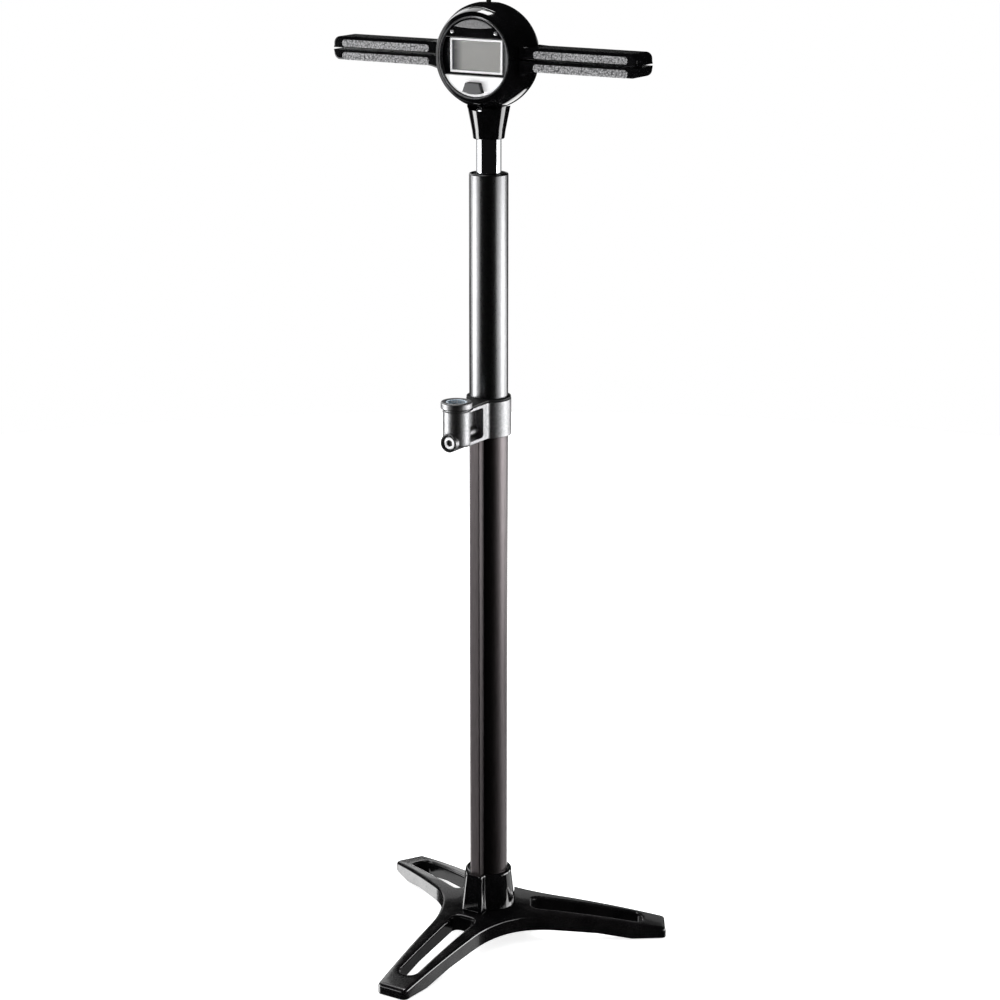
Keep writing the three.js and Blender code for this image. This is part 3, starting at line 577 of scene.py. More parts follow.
GRAIN = grip_grey_look()
SILVER = Look("silver_plastic", metallic=0.15)
SILVER.colour((0.6, 3), (0.86, 0.86, 0.865), (0.93, 0.93, 0.935))
SILVER.rough((0.5, 3), 0.30, 0.42).bump((0.2, 2), 0.004)
TRIM_GREY = Look("trim_grey", metallic=0.85)
TRIM_GREY.colour((0.7, 3), (0.09, 0.09, 0.093), (0.15, 0.15, 0.154))
TRIM_GREY.rough((0.5, 3), 0.24, 0.36).bump((0.25, 3), 0.006)
BUTTON_GREY = button_look()
SCREEN = lcd_look()
RING_STEEL = Look("port_ring_steel", metallic=0.35)
RING_STEEL.colour((1.2, 4), (0.42, 0.55, 0.68), (0.90, 0.96, 1.0))
RING_STEEL.rough((0.6, 3), 0.3, 0.6).bump((0.9, 3), 0.06)
TRAY_BLACK = tray_look()
GLASS = Look("clear_window", Transmission_Weight=1.0, IOR=1.45)
GLASS.colour((15,), (0.97, 0.98, 0.98), (1, 1, 1)).rough((10,), 0.0, 0.03)
PLASTIC = plain_look("black_plastic", (0.008, 0.008, 0.008), (0.016, 0.016, 0.016), 0.3, 0.5)
MACHINED = plain_look("machined_aluminium", (0.5, 0.5, 0.51), (0.65, 0.65, 0.66), 0.25, 0.4, 1.0)
BADGE_GREY = plain_look("badge_grey", (0.14, 0.14, 0.143), (0.22, 0.22, 0.224), 0.3, 0.42, 0.3)
GUIDE = plain_look("guide_plastic", (0.05, 0.05, 0.05), (0.09, 0.09, 0.09), 0.4, 0.6)
PLATED = plated_look()
BOARD = plain_look("board", (0.01, 0.07, 0.02), (0.02, 0.12, 0.04), 0.35, 0.55)
HIDDEN_LOOKS = {
    "rubber": RUBBER, "bright_steel": STEEL, "machined_aluminium": MACHINED, "guide_plastic": GUIDE,
    "black_plastic": PLASTIC, "board": BOARD,
}


# ---- base ----

LEG_TIP = -BASE.y0            # radius of the leg tips
LEG_TIP_HALF = 13.2
LEG_TAPER = 0.09
WEB_RADIUS = 38               # closest approach of the curve between two legs
LEG_ANGLES = (-90, 30, 150)
SLOT = {"inner": 36, "outer": 124.5, "inner_half": 10.2, "outer_half": 7.6}
BOLT_HOLE = 4.3


def turned_by(loop, degrees):
    c, s = math.cos(math.radians(degrees)), math.sin(math.radians(degrees))
    return [(x * c - y * s, x * s + y * c) for x, y in loop]


def base_outline():
    """Three tapered legs joined by concave arcs that are tangent to their sides."""
    tip_corner = 4
    slant, swing = math.hypot(1, LEG_TAPER), math.degrees(math.atan(LEG_TAPER))
    edge = LEG_TIP_HALF + LEG_TAPER * LEG_TIP
    reach = LEG_TAPER / 2 + math.sin(math.radians(60))
    arc_r = (WEB_RADIUS * reach - edge) / (slant - reach)
    corner_at = LEG_TIP - tip_corner
    side = edge - LEG_TAPER * corner_at - tip_corner * slant
    centre = (WEB_RADIUS + arc_r) / 2, (WEB_RADIUS + arc_r) * math.sin(math.radians(60))
    leg = arc(corner_at, -side, tip_corner, swing - 90, 0, 8)
    leg += arc(corner_at, side, tip_corner, 0, 90 - swing, 8)
    leg += arc(*centre, arc_r, -90 - swing, -150 + swing, 24)
    return [p for angle in LEG_ANGLES for p in turned_by(leg, angle)]


def base_top(x, y):
    r = math.hypot(x, y)
    return min(29 - 0.07 * r - 0.000465 * r * r, BASE.z1)


def base_under(x, y):
    radii, heights = (0, 12, 34, 58, 91, 118, 160), (14.5, 14.5, 13, 10.3, 6.6, 1, 1)
    return float(np.interp(math.hypot(x, y), radii, heights))


def mark_shaded_walls(obj):
    """Marks the walls of the slots, which lie in the legs' shade; the base paint makes them nearly
    unreflective there as painted shade.
    """
    beside, beyond = 0.3, 0.01
    # these marks choose where the base paint lays its painted shade
    marks = obj.data.attributes.new("shaded_slot_wall", "FLOAT", "POINT")
    for vertex, mark in zip(obj.data.vertices, marks.data):
        spot = vertex.co.x / MM, vertex.co.y / MM - POLE_Y
        for angle in LEG_ANGLES:
            out, aside = turned_by([spot], -angle)[0]
            share = (out - SLOT["inner"]) / (SLOT["outer"] - SLOT["inner"])
            half = SLOT["inner_half"] + (SLOT["outer_half"] - SLOT["inner_half"]) * share
            if -beyond < share < 1 + beyond and abs(aside) < half + beside:
                mark.value = 1


def build_base():
    outline = dense(base_outline(), 2.0)
    slot = rounded([
        (SLOT["inner"], -SLOT["inner_half"], 5), (SLOT["outer"], -SLOT["outer_half"], 6.5),
        (SLOT["outer"], SLOT["outer_half"], 6.5), (SLOT["inner"], SLOT["inner_half"], 5),
    ], 8)
    slots = [turned_by(dense(slot, 2.0), angle) for angle in LEG_ANGLES]
    round_rim = lambda x, y: 0.01 if math.hypot(x, y) < BOLT_HOLE + 1 else 2.6
    holes = slots + [circle(BOLT_HOLE, 32)]
    mesh = slab(outline, holes, base_under, base_top, 0.6, round_rim, grid=2.6, steps=6)
    obj = place("base_casting_finished", mesh)
    mark_shaded_walls(obj)
    pad_in, pad_out, pad_half, pad_corner, pad_top = 128, 140.5, 8, 3, 2.7
    pad = rectangle(pad_in, pad_out, -pad_half, pad_half, pad_corner)
    pocket = rectangle(pad_in - GAP, pad_out + GAP, -pad_half - GAP, pad_half + GAP, pad_corner)
    for angle, leg in zip(LEG_ANGLES, ("front", "right", "left")):
        piece(slab(turned_by(pad, angle), [], 0, pad_top, 0.6, 0.2), RUBBER, "foot_pad_" + leg)
        combined(obj, "DIFFERENCE", slab(turned_by(pocket, angle), [], -2, pad_top + GAP))
    finished(obj, PAINT, "base_casting", sharp=40)


def build_socket():
    """A tapered round socket with a flat-fronted lobe for the air rail, lofted round the barrel."""
    shoulder = SOCKET.z1 - 2.6
    foot_plan, shoulder_plan = (22.0, -27.3, 9.5), (18.9, -25.0, 7.5)
    corner, blend = 2.4, 1.6

    def reach(angle, at):
        """Distance from the axis to the outside at a height, given as a share of the way up. Each plan is
        the round's radius, and the front and the half width of the lobe."""
        r, front, half = [a + (b - a) * at for a, b in zip(foot_plan, shoulder_plan)]
        direction = Vector((math.cos(angle), math.sin(angle)))
        low, high = 0.0, 40.0
        for _ in range(28):
            mid = (low + high) / 2
            p = direction * mid
            to_circle = p.length - r
            qx, qy = abs(p.x) - half + corner, abs(p.y - front / 2) + front / 2 + corner
            box = math.hypot(max(qx, 0), max(qy, 0)) + min(max(qx, qy), 0) - corner
            h = max(blend - abs(to_circle - box), 0) / blend
            if min(to_circle, box) - h * h * blend / 4 < 0:
                low = mid
            else:
                high = mid
        return low

    def hole(angle):
        """Distance from the axis to the wall of the hole for the barrel and its rail."""
        c, s = math.cos(angle), math.sin(angle)
        if s >= 0:
            return BARREL_HOLE
        return max(BARREL_HOLE, min((RAIL_HALF + GAP) / abs(c), (LOWER.y0 - GAP) / s))

    count = 288
    points, faces, rings = [], [], []
    angles = [2 * math.pi * (i + 0.5) / count for i in range(count)]
    top, floor = SOCKET.z1, 32

    def add_ring(radii, z):
        rings.append(len(points))
        points.extend((r * math.cos(a), r * math.sin(a), z) for r, a in zip(radii, angles))

    low = [reach(a, 0) for a in angles]
    add_ring([BOLT_HOLE] * count, SOCKET.z0)
    add_ring([r - 0.5 for r in low], SOCKET.z0)
    for k in range(13):
        share = k / 12
        z = SOCKET.z0 + 0.4 + (shoulder - SOCKET.z0 - 0.4) * share
        add_ring([reach(a, share) for a in angles], z)
    high = [reach(a, 1) for a in angles]
    bores = [hole(a) for a in angles]
    rim = 1.8
    for k in range(1, 7):
        a = math.pi / 2 * k / 6
        inner = [max(r - rim * (1 - math.cos(a)), b + 0.5) for r, b in zip(high, bores)]
        add_ring(inner, shoulder + (top - shoulder) * math.sin(a))
    add_ring([b + 0.35 for b in bores], top)
    add_ring(bores, top - 0.35)
    add_ring(bores, floor)
    add_ring([BOLT_HOLE] * count, floor)
    for first, second in zip(rings, rings[1:] + rings[:1]):
        for i in range(count):
            j = (i + 1) % count
            faces.append([first + i, first + j, second + j, second + i])
    piece((points, faces), GLOSS, "base_socket", sharp=50)


# ---- barrel ----

def build_barrel():
    half, front, corner = RAIL_HALF, LOWER.y0, 0.9
    in_wall = -14.2           # where the rail's sides end, inside the tube's wall
    side = math.degrees(math.acos(half / UPPER.r))
    section = arc(0, 0, UPPER.r, -side + 0.6, 180 + side - 0.6, 120)
    land = arc(-half + corner, front + corner, corner, 180, 270, 4)
    land += arc(half - corner, front + corner, corner, 270, 360, 4)
    section += [(-half, in_wall)] + land + [(half, in_wall)]
    air_duct = circle(1.7, 24, 0, -17.8)
    rail_top = 424
    tube = slab(section, [circle(BARREL_BORE, 96), air_duct], LOWER.z0, LOWER.z1)
    front_cut = slab(rectangle(-6, 6, front - 2, -UPPER.r), [], rail_top, LOWER.z1 + 2)
    piece(tube, ANODISED, "lower_barrel", sharp=30, cut=[front_cut])
    profile = rounded([
        (BARREL_BORE, UPPER.z0, 0), (UPPER.r, UPPER.z0, 0), (UPPER.r, UPPER.z1, 1.1),
        (BARREL_BORE, UPPER.z1, 0.3),
    ], 5)
    piece(lathe(profile), SATIN, "upper_barrel")
    lip = rounded([
        (ROD_HOLE, WIPER.z0, 0), (WIPER.r, WIPER.z0, 0), (WIPER.r, WIPER.z1 - 1, 0.2),
        (ROD.r + 1.4, WIPER.z1, 0.4), (ROD_HOLE, WIPER.z1, 0.2),
    ], 4)
    piece(lathe(lip), RUBBER, "rod_wiper")


# ---- collar ----

CUP_Y = MAGNET.mid_y
ARM_HALF = 9.0
FLANGE_R = 12.05


def arm_and_ring(r, half, blend):
    """Plan of a ring with an arm to the front, with a hollow curve where they meet."""
    centre = (half + blend, -math.sqrt((r + blend) ** 2 - (half + blend) ** 2))
    meet = math.degrees(math.atan2(centre[1], centre[0]))
    right = arc(*centre, blend, 180, meet + 180, 8)
    left = [(-x, y) for x, y in reversed(right)]
    return right + arc(0, 0, r, meet, 180 - meet, 90)[1:-1] + left


def build_collar():
    ring_low, ring_high = 420.0, CAP.z0 - GAP
    cup_foot, cup_r, flange_low = ring_low + 0.7, 10.55, 449.2
    below, above = 410, 460   # heights that are clear of the collar
    plan = arm_and_ring(17.5, ARM_HALF, 4.5) + [(-ARM_HALF, CUP_Y), (ARM_HALF, CUP_Y)]
    body = place("collar_body_finished", slab(plan, [], ring_low, ring_high))
    cup = rounded([
        (0, cup_foot, 0), (cup_r, cup_foot, 1.6), (cup_r, flange_low, 0), (FLANGE_R, 450, 0.5),
        (FLANGE_R, COLLAR.z1, 0.9), (0, COLLAR.z1, 0),
    ], 4)
    groove = shifted(ring(13, 9.9, 447.9, flange_low, 0.0), 0, CUP_Y)
    pocket_outline = rectangle(-42.0, -22.4, 423.1, 445.8, 2.4, 6)
    pockets = []
    for side in (-1, 1):
        flat = slab(pocket_outline, [], 1.8, ARM_HALF + 3)
        pockets.append(([(side * c, a, b) for a, b, c in flat[0]], flat[1]))
    combined(body, "DIFFERENCE", *pockets)
    passage = along_y(disc(4.3, 20, 42, 0), 0, 427.4)
    boss = along_y(disc(PLUG_SEAL.r + 0.9, 41, -COLLAR.y0, 0.6), 0, PLUG.mid_z)
    combined(body, "UNION", passage, shifted(lathe(cup), 0, CUP_Y), boss)
    seat = -PLUG_SEAL.y1 - GAP
    plug_hole = [(0, -CUP_Y + 0.4), (3.2, -CUP_Y + 0.4), (3.2, seat), (6.5, seat), (6.5, 60), (0, 60)]
    floor = cup_foot + 1.8
    seal_seat, magnet_seat = SEAL.z0 - GAP, MAGNET.z0 - GAP
    port = lathe([(0, floor), (4.5, floor), (4.5, seal_seat), (6.5, seal_seat), (6.5, magnet_seat),
                  (8.5, magnet_seat), (8.5, above), (0, above)], FINE)
    rail = rectangle(-RAIL_HALF - GAP, RAIL_HALF + GAP, LOWER.y0 - GAP, 0)
    combined(
        body, "DIFFERENCE", groove,
        lathe([(0, below), (BARREL_HOLE, below), (BARREL_HOLE, above), (0, above)]),
        slab(rail, [], below, LOWER.z1 + 0.45),
        shifted(port, 0, CUP_Y),
        along_y(lathe(plug_hole, 52), 0, PLUG.mid_z),
    )
    remesh = body.modifiers.new("cast", "REMESH")
    remesh.mode = "VOXEL"
    remesh.voxel_size = 0.34 * MM
    soften = body.modifiers.new("soften", "SMOOTH")
    soften.factor = 0.5
    soften.iterations = 5
    thin = body.modifiers.new("thin", "DECIMATE")
    thin.ratio = 0.35
    settled(body)
    finished(body, CAST, "collar_body", sharp=60)
    cut = FLANGE_R + 0.35
    reach = math.degrees(math.acos(8.6 / cut))
    plan = arm_and_ring(17.2, 8.6, 4.5) + arc(0, CUP_Y, cut, 180 - reach, reach, 24)
    piece(slab(plan, [circle(BARREL_HOLE, 96)], CAP.z0, CAP.z1, 0.1, 0.5), RUBBER, "collar_cap")
    piece(shifted(ring(MAGNET.r, 6.7, MAGNET.z0, MAGNET.z1, 0.25), 0, CUP_Y), RING_STEEL, "port_magnet")
    piece(shifted(ring(SEAL.r, 3.6, SEAL.z0, SEAL.z1, 0.6), 0, CUP_Y), RUBBER, "port_seal")
    build_plug()


def build_plug():
    face = -PLUG.y0
    tip, under_head, shank_r = face - 8.6, face - 5, 2.9
    head = rounded([
        (0, tip, 0), (shank_r, tip, 0.3), (shank_r, under_head, 0), (PLUG.r, under_head, 0),
        (PLUG.r, face, 0.9), (0, face, 0),
    ], 5)
    screw = along_y(lathe(head, FINE), 0, PLUG.mid_z)
    hexagon = slab(turned_by(circle(2.9, 6), 30), [], face - 3, face + 2)
    piece(screw, PLATED, "port_plug_screw", cut=[along_y(hexagon, 0, PLUG.mid_z)])
    washer = ring(PLUG_SEAL.r + 0.1, PLUG.r + GAP, -PLUG_SEAL.y1, -COLLAR.y0 - 0.1, 0.5)
    piece(along_y(washer, 0, PLUG.mid_z), RUBBER, "port_plug_seal")


# ---- rod and head ----

HEAD_PROFILE = [              # (distance to the back, radius) of the round head
    (-21.6, 31.3), (-21.3, 33), (-20, 34.4), (-16, 36.4), (-12, 37.9), (-8, 39.3), (-3, 39.8),
    (3, 39.6), (8, 38.7), (13, 36.8), (16.5, 34.3), (18.5, 31.3), (19.5, 27),
]
FLAT_X = 33.0                 # distance from the middle to the flats that the arms lie against
FLAT_TOP = 9.5                # height of the flats' upper end above the head's centre
FACE_HOLE = 29.3              # radius of the hole the gauge's face sits in


def head_curve():
    """The head's outer profile as a smooth curve through its points."""
    points = [Vector(p) for p in HEAD_PROFILE]
    padded = [2 * points[0] - points[1]] + points + [2 * points[-1] - points[-2]]
    curve = []
    for a, b, c, d in zip(padded, padded[1:], padded[2:], padded[3:]):
        for k in range(6):
            t = k / 6
            curve.append(0.5 * ((2 * b) + (c - a) * t + (2 * a - 5 * b + 4 * c - d) * t * t
                                + (3 * b - a - 3 * c + d) * t ** 3))
    return [(p.x, p.y) for p in curve] + [HEAD_PROFILE[-1]]


CURVE = head_curve()


def skin(front, back, edge=0.25):
    """(radius, distance to the front) points of the head's outside, with small rounded ends."""
    radii = [r for _, r in CURVE]
    depths = [y for y, _ in CURVE]
    radius = lambda y: float(np.interp(y, depths, radii))
    inner = [(radius(y), -y) for y, _ in CURVE if front + edge * 1.5 < y < back - edge * 1.5]
    start = [(radius(front) - edge, -front), (radius(front) - edge * 0.3, -front - edge * 0.3),
             (radius(front + edge), -front - edge)]
    end = [(radius(back - edge), -back + edge), (radius(back) - edge * 0.3, -back + edge * 0.3),
           (radius(back) - edge, -back)]
    return start + inner + end


def arm_flats():
    """Blocks that leave the two flats the handle arms lie against."""
    spans = ((-45, -FLAT_X), (FLAT_X, 45))
    return [slab(rectangle(x0, x1, -30, FLAT_TOP), [], -30, 30) for x0, x1 in spans]


def build_head():
    room_floor = 11.6
    room = [(0, room_floor), (FACE_HOLE, room_floor), (FACE_HOLE, -HEAD.y0)]
    body = on_face(lathe(room + skin(HEAD.y0, HEAD.y1) + [(0, -HEAD.y1)], 192))
    flats = [on_face(block) for block in arm_flats()]
    below, above = 660, 760   # heights that are clear of the head
    shoulder = ROD.z1 + GAP
    rod_hole = lathe([(0, below), (ROD_HOLE, below), (ROD_HOLE, shoulder), (ROD_BORE, shoulder),
                      (ROD_BORE, above), (0, above)], FINE)
    cores = []
    for side in ("left", "right"):
        core = Span(side + "_handle_core")
        outline = rectangle(core.x0 - GAP, core.x1 + GAP, core.y0 - GAP, core.y1 + GAP)
        cores.append(slab(outline, [], core.z0 - GAP, core.z1 + GAP))
    piece(body, GLOSS, "head_body", sharp=35, cut=[*flats, rod_hole, *cores])
    ledge, ledge_r = 17.7, 31.3
    inner = [(FACE_HOLE, -BEZEL.y1), (FACE_HOLE, ledge), (ledge_r, ledge), (ledge_r, 21.2)]
    bezel = on_face(lathe(skin(BEZEL.y0, BEZEL.y1) + inner, 192))
    piece(bezel, GLOSS, "head_bezel", sharp=35, cut=flats)
    front = -TRIM.y0
    trim = rounded([
        (FACE_HOLE, 18, 0), (FACE_HOLE, front, 0.2), (TRIM.r - 0.9, front, 0.2), (TRIM.r, front - 1.1, 0.3),
        (TRIM.r, 18, 0),
    ], 4)
    piece(on_face(lathe(trim, 160)), TRIM_GREY, "bezel_trim_ring")
    build_back(flats)
    build_neck()


def build_back(flats):
    room_r, wall, door_hole = 26.5, -14.2, DOOR.r + 0.35
    cover = place("head_rear_cover_finished", on_face(lathe(
        [(room_r, -REAR.y0)] + skin(REAR.y0, REAR.y1 - 0.01, 0.2)
        + [(door_hole, -REAR.y1), (door_hole, wall), (room_r, wall)], 192)))
    screws = [Span(f"rear_screw_{i}") for i in (1, 2, 3, 4)]
    sink_floor = -15
    sinks = [along_y(disc(2.7, -25, sink_floor, 0, 32), *s.front_middle) for s in screws]
    holes = [along_y(disc(1.6, -18, 0, 0, 24), *s.front_middle) for s in screws]
    posts = [along_y(disc(3.6, sink_floor, -REAR.y0 - 0.01, 0, 32), *s.front_middle) for s in screws]
    combined(cover, "DIFFERENCE", *flats)
    combined(cover, "UNION", *posts)
    combined(cover, "DIFFERENCE", *sinks, *holes)
    finished(cover, GLOSS, "head_rear_cover", sharp=35)
    door = on_face(disc(DOOR.r, -DOOR.y1, -DOOR.y0, 0.4))
    slot = slab(rectangle(-7, 7, -0.9, 0.9, 0.85), [], -DOOR.y1 - 2, -DOOR.y1 + 1.2)
    piece(door, PLASTIC, "battery_cover", cut=[on_face(slot)])
    for i, s in enumerate(screws, 1):
        depth = -s.y1
        profile = rounded([(0, depth, 0), (s.r, depth, 0.7), (s.r, depth + 2, 0), (1.3, depth + 2, 0),
                           (1.3, -s.y0, 0.2), (0, -s.y0, 0)], 4)
        recess = cross_recess(depth + 0.9, depth - 1, 1.5, *s.front_middle)
        piece(along_y(lathe(profile, 32), *s.front_middle), STEEL, f"rear_screw_{i}", cut=recess)


def cross_recess(deep, proud, reach, x, z):
    """Two crossed slots for a screwdriver."""
    low, high = sorted((deep, proud))
    return [along_y(slab(rectangle(-a, a, -b, b), [], low, high), x, z)
            for a, b in ((reach, 0.28), (0.28, reach))]


def build_neck():
    profile = rounded([
        (ROD_HOLE, NECK.z0, 0), (11.9, NECK.z0, 0.9), (12.7, 655, 8), (16.3, 673.3, 1.5), (16.8, 684, 0),
        (ROD_HOLE, 684, 0),
    ], 6)
    drum = on_face(lathe([(0, -40), (40.1, -40), (40.1, 40), (0, 40)], 256))
    piece(lathe(profile), GLOSS, "neck", sharp=35, cut=[drum])
    rod = rounded([
        (ROD_BORE, ROD.z0, 0.2), (ROD.r, ROD.z0, 0.3), (ROD.r, ROD.z1, 0.3), (ROD_BORE, ROD.z1, 0.2),
    ], 3)
    piece(lathe(rod), CHROME, "piston_rod")
    crown = TAB.z1 - 2.4
    tab = slab(rectangle(-1.7, 1.7, -1.2, 1.2, 0.6, 4), [], crown - 1, TAB.z1, 0, 0.4)
    piece(disc(TAB.r, TAB.z0, crown, 0.5), PLASTIC, "storage_plug", add=[tab])


# ---- gauge ----

def disc_band(r, low, high):
    """The part of a disc between two heights."""
    a, b = math.degrees(math.asin(low / r)), math.degrees(math.asin(high / r))
    return arc(0, 0, r, a, b, 24) + arc(0, 0, r, 180 - b, 180 - a, 24)


def disc_above(r, height):
    a = math.degrees(math.asin(height / r))
    return arc(0, 0, r, a, 180 - a, 48)


def disc_below(r, height):
    return [(x, -y) for x, y in disc_above(r, -height)]


def face_height(height):
    return height - HEAD_Z


def face_box(span, gap=0.0):
    """The sides, foot and top of a node as drawn on the head's face, with a gap all round."""
    return span.x0 - gap, span.x1 + gap, face_height(span.z0) - gap, face_height(span.z1) + gap


def face_plate(span, outline, rounding, holes=(), grid=None):
    """A plate on the head's face that is as deep as a node, with its front edge rounded."""
    return on_face(slab(outline, holes, -span.y1, -span.y0, 0, rounding, grid=grid))


def build_face():
    disc_r = 29.0
    band_top, band_foot = face_height(PANEL.z0), face_height(PLATE.z1)
    screws = {node: Span(node) for node in ("face_screw_left", "face_screw_right")}
    sinks = [along_y(disc(r, low, 24, 0, 32), *s.front_middle)
             for s in screws.values() for r, low in ((2.0, 19.8), (1.2, 14))]
    piece(face_plate(PANEL, disc_above(disc_r, band_top), 0.35), GLOSS, "face_panel", cut=sinks)
    for node, s in screws.items():
        front = -s.y0
        profile = rounded([(0, -s.y1, 0), (0.9, -s.y1, 0), (0.9, front - 1.1, 0), (s.r, front - 1.1, 0.1),
                           (s.r, front, 0.5), (0, front, 0)], 4)
        recess = cross_recess(front - 0.6, front + 1, 1.05, *s.front_middle)
        piece(along_y(lathe(profile, 32), *s.front_middle), STEEL, node, cut=recess)
    r, half = 28.0, BADGE.x1
    corner = math.degrees(math.acos(half / r))
    edge = r * math.sin(math.radians(corner))
    across = [k / 12 - 1 for k in range(1, 24)]
    lower = [(half * t, edge - 1.1 * (1 - t * t)) for t in across]
    badge = arc(0, 0, r, corner, 180 - corner, 48) + lower
    piece(face_plate(BADGE, badge, 0.4, grid=1.5), BADGE_GREY, "badge_plate")
    lower_plate = face_plate(PLATE, disc_below(disc_r, band_foot), 0.3, [button_outline(0.3)])
    piece(lower_plate, SILVER, "lower_plate")
    tray = disc_band(disc_r, face_height(TRAY.z0), face_height(TRAY.z1))
    piece(face_plate(TRAY, tray, 0), TRAY_BLACK, "display_tray")


def button_outline(grow):
    """The mode button: a trapezoid with a bowed foot."""
    top, foot, top_half, foot_half, bow = -18.5, -25.0, 5.9, 8.4, 1.6
    across = [k / 8 - 1 for k in range(17)]
    low = [((foot_half + grow) * t, foot - grow - bow * (1 - t * t)) for t in across]
    return low + [(top_half + grow, top + grow), (-top_half - grow, top + grow)]


def build_display():
    rim = 1.7
    opening = rectangle(*face_box(LCD_FRAME, -rim), 0.3)
    border = face_plate(LCD_FRAME, rectangle(*face_box(LCD_FRAME), 0.5), 0.35, [opening])
    piece(border, SILVER, "lcd_frame")
    piece(face_plate(LCD, rectangle(*face_box(LCD)), 0.05), SCREEN, "lcd_panel")
    piece(face_plate(WINDOW, rectangle(*face_box(WINDOW)), 0.04), GLASS, "display_window")
    cap = slab(button_outline(0), [], 15.9, -BUTTON.y0, 0, 0.45)
    flange = slab(rectangle(-9, 9, -26.4, -16), [], -BUTTON.y1, 16.2)
    piece(on_face(cap), BUTTON_GREY, "mode_button", add=[on_face(flange)])


# ---- handle ----

ARM_HALF_Y = 12.0             # half the depth of an arm, front to back
GROOVE = 0.9                  # height of the groove's edges within which their rounding is small


def shell_outline(part, span):
    """A grip shell seen from the front, drawn as for the right arm, with its end rounded."""
    root, end = span.x0, span.x1
    low, high = face_height(span.z0), face_height(span.z1)
    if part == "upper":
        return [(root, low), (end, low)] + arc(end - 5, 3.7, 5, 0, 90, 10) + [(46, 8.7), (root, high)]
    shares = [k / 14 for k in range(15)]
    curve = [(root + (50 - root) * t, low + (-8.9 - low) * (1 - (1 - t) ** 2)) for t in shares]
    return curve + arc(end - 5, -3.9, 5, -90, 0, 10) + [(end, high), (root, high)]


def insert_mesh(span):
    """Front and back strips with a grainy surface."""
    outline = dense(rectangle(*face_box(span), 2.4), 0.7)

    def grainy(x, y):
        return span.y1 - 0.12 + 0.1 * noise.noise(Vector((x * 1.3, y * 1.3, span.z0)))

    front = on_face(slab(outline, [], 10.6, grainy, 0, 0.45, grid=0.7))
    back = [(x, -y, z) for x, y, z in front[0]], front[1]
    return merged(front, back)


def build_arm(side):
    for part in ("upper", "lower"):
        node = f"{side}_grip_{part}"
        span, insert = Span(node), Span(f"{side}_grip_insert_{part}")
        if side == "left":
            span.x0, span.x1 = -span.x1, -span.x0
            insert.x0, insert.x1 = -insert.x1, -insert.x0
        edge = face_height(span.z0 if part == "upper" else span.z1)
        soft = lambda x, y: 0.35 if abs(y - edge) < GROOVE or x < span.x0 + 0.1 else 1.5
        outline = dense(shell_outline(part, span), 3.0)
        shell = slab(outline, [], -ARM_HALF_Y, ARM_HALF_Y, soft, soft)
        recess = rectangle(*face_box(insert, 0.25), 2.6)
        tools = [slab(recess, [], 10.3, 14), slab(recess, [], -14, -10.3)]
        core_low, core_high = face_box(Span(side + "_handle_core"), GAP)[2:]
        tools.append(slab(rectangle(span.x0 - 2, 127.3, core_low, core_high), [], -6.3, 6.3))
        turn = mirrored if side == "left" else (lambda mesh: mesh)
        cuts = [turn(on_face(tool)) for tool in tools]
        piece(turn(on_face(shell)), GRIP, node, sharp=35, cut=cuts)
        piece(turn(insert_mesh(insert)), GRAIN, f"{side}_grip_insert_{part}", sharp=60)


# ---- foot valve ----

def build_spring():
    """The coil under the valve ball, which the ball comes down on. It is drawn at one length."""
    turns, steps, sides, wire = 4, 28, 10, 0.3
    radius = SPRING.r - wire
    low, high = SPRING.z0 + wire, SPRING.z1 - wire
    points, faces = [], []
    for k in range(turns * steps + 1):
        turn = 2 * math.pi * k / steps
        z = low + (high - low) * k / (turns * steps)
        for px, pz in circle(wire, sides):
            out = radius + px
            points.append((out * math.cos(turn), SPRING.mid_y + out * math.sin(turn), z + pz))
    for k in range(turns * steps):
        for i in range(sides):
            a, b = k * sides + i, k * sides + (i + 1) % sides
            faces.append([a, b, b + sides, a + sides])
    last = turns * steps * sides
    faces += [list(range(sides)), list(range(last, last + sides))]
    spring = piece((points, faces), STEEL, "foot_valve_spring")
    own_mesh(spring)


# ---- what stays from the CAD ----

def finish_hidden():
    """CAD nodes that stay as they are get the material of their slot."""
    for name, obj in frame["nodes"].items():
        look = HIDDEN_LOOKS.get(SLOT_OF[name])
        if look and not bpy.data.objects.get(name + "_finished"):
            obj.data.materials.clear()
            obj.data.materials.append(look.material)


# ---- stage, light and camera ----

CAMERA_AZIMUTH = math.radians(31.62)


def from_camera(azimuth, distance, up):
    """A place at a height round the barrel; the azimuth is 0 towards the camera and + to its right."""
    turn = CAMERA_AZIMUTH + math.radians(azimuth)
    return Vector((distance * math.sin(turn), POLE_Y * MM - distance * math.cos(turn), up))


def panel_light(name, at, towards, width, height, radiance):
    """A rectangular softbox; its power follows from its brightness and its size."""
    data = bpy.data.lights.new(name, "AREA")
    data.shape = "RECTANGLE"
    data.size, data.size_y = width, height
    data.energy = radiance * math.pi * width * height
    light = bpy.data.objects.new(name, data)
    light.location = at
    light.rotation_euler = (towards - at).to_track_quat("-Z", "Y").to_euler()
    light.visible_camera = False
    bpy.context.scene.collection.objects.link(light)
    return light


def side_light(name, azimuth, distance, low, high, width, radiance):
    """An upright softbox that faces the barrel."""
    middle = (low + high) / 2
    at = from_camera(azimuth, distance, middle)
    return panel_light(name, at, Vector((0, POLE_Y * MM, middle)), width, high - low, radiance)


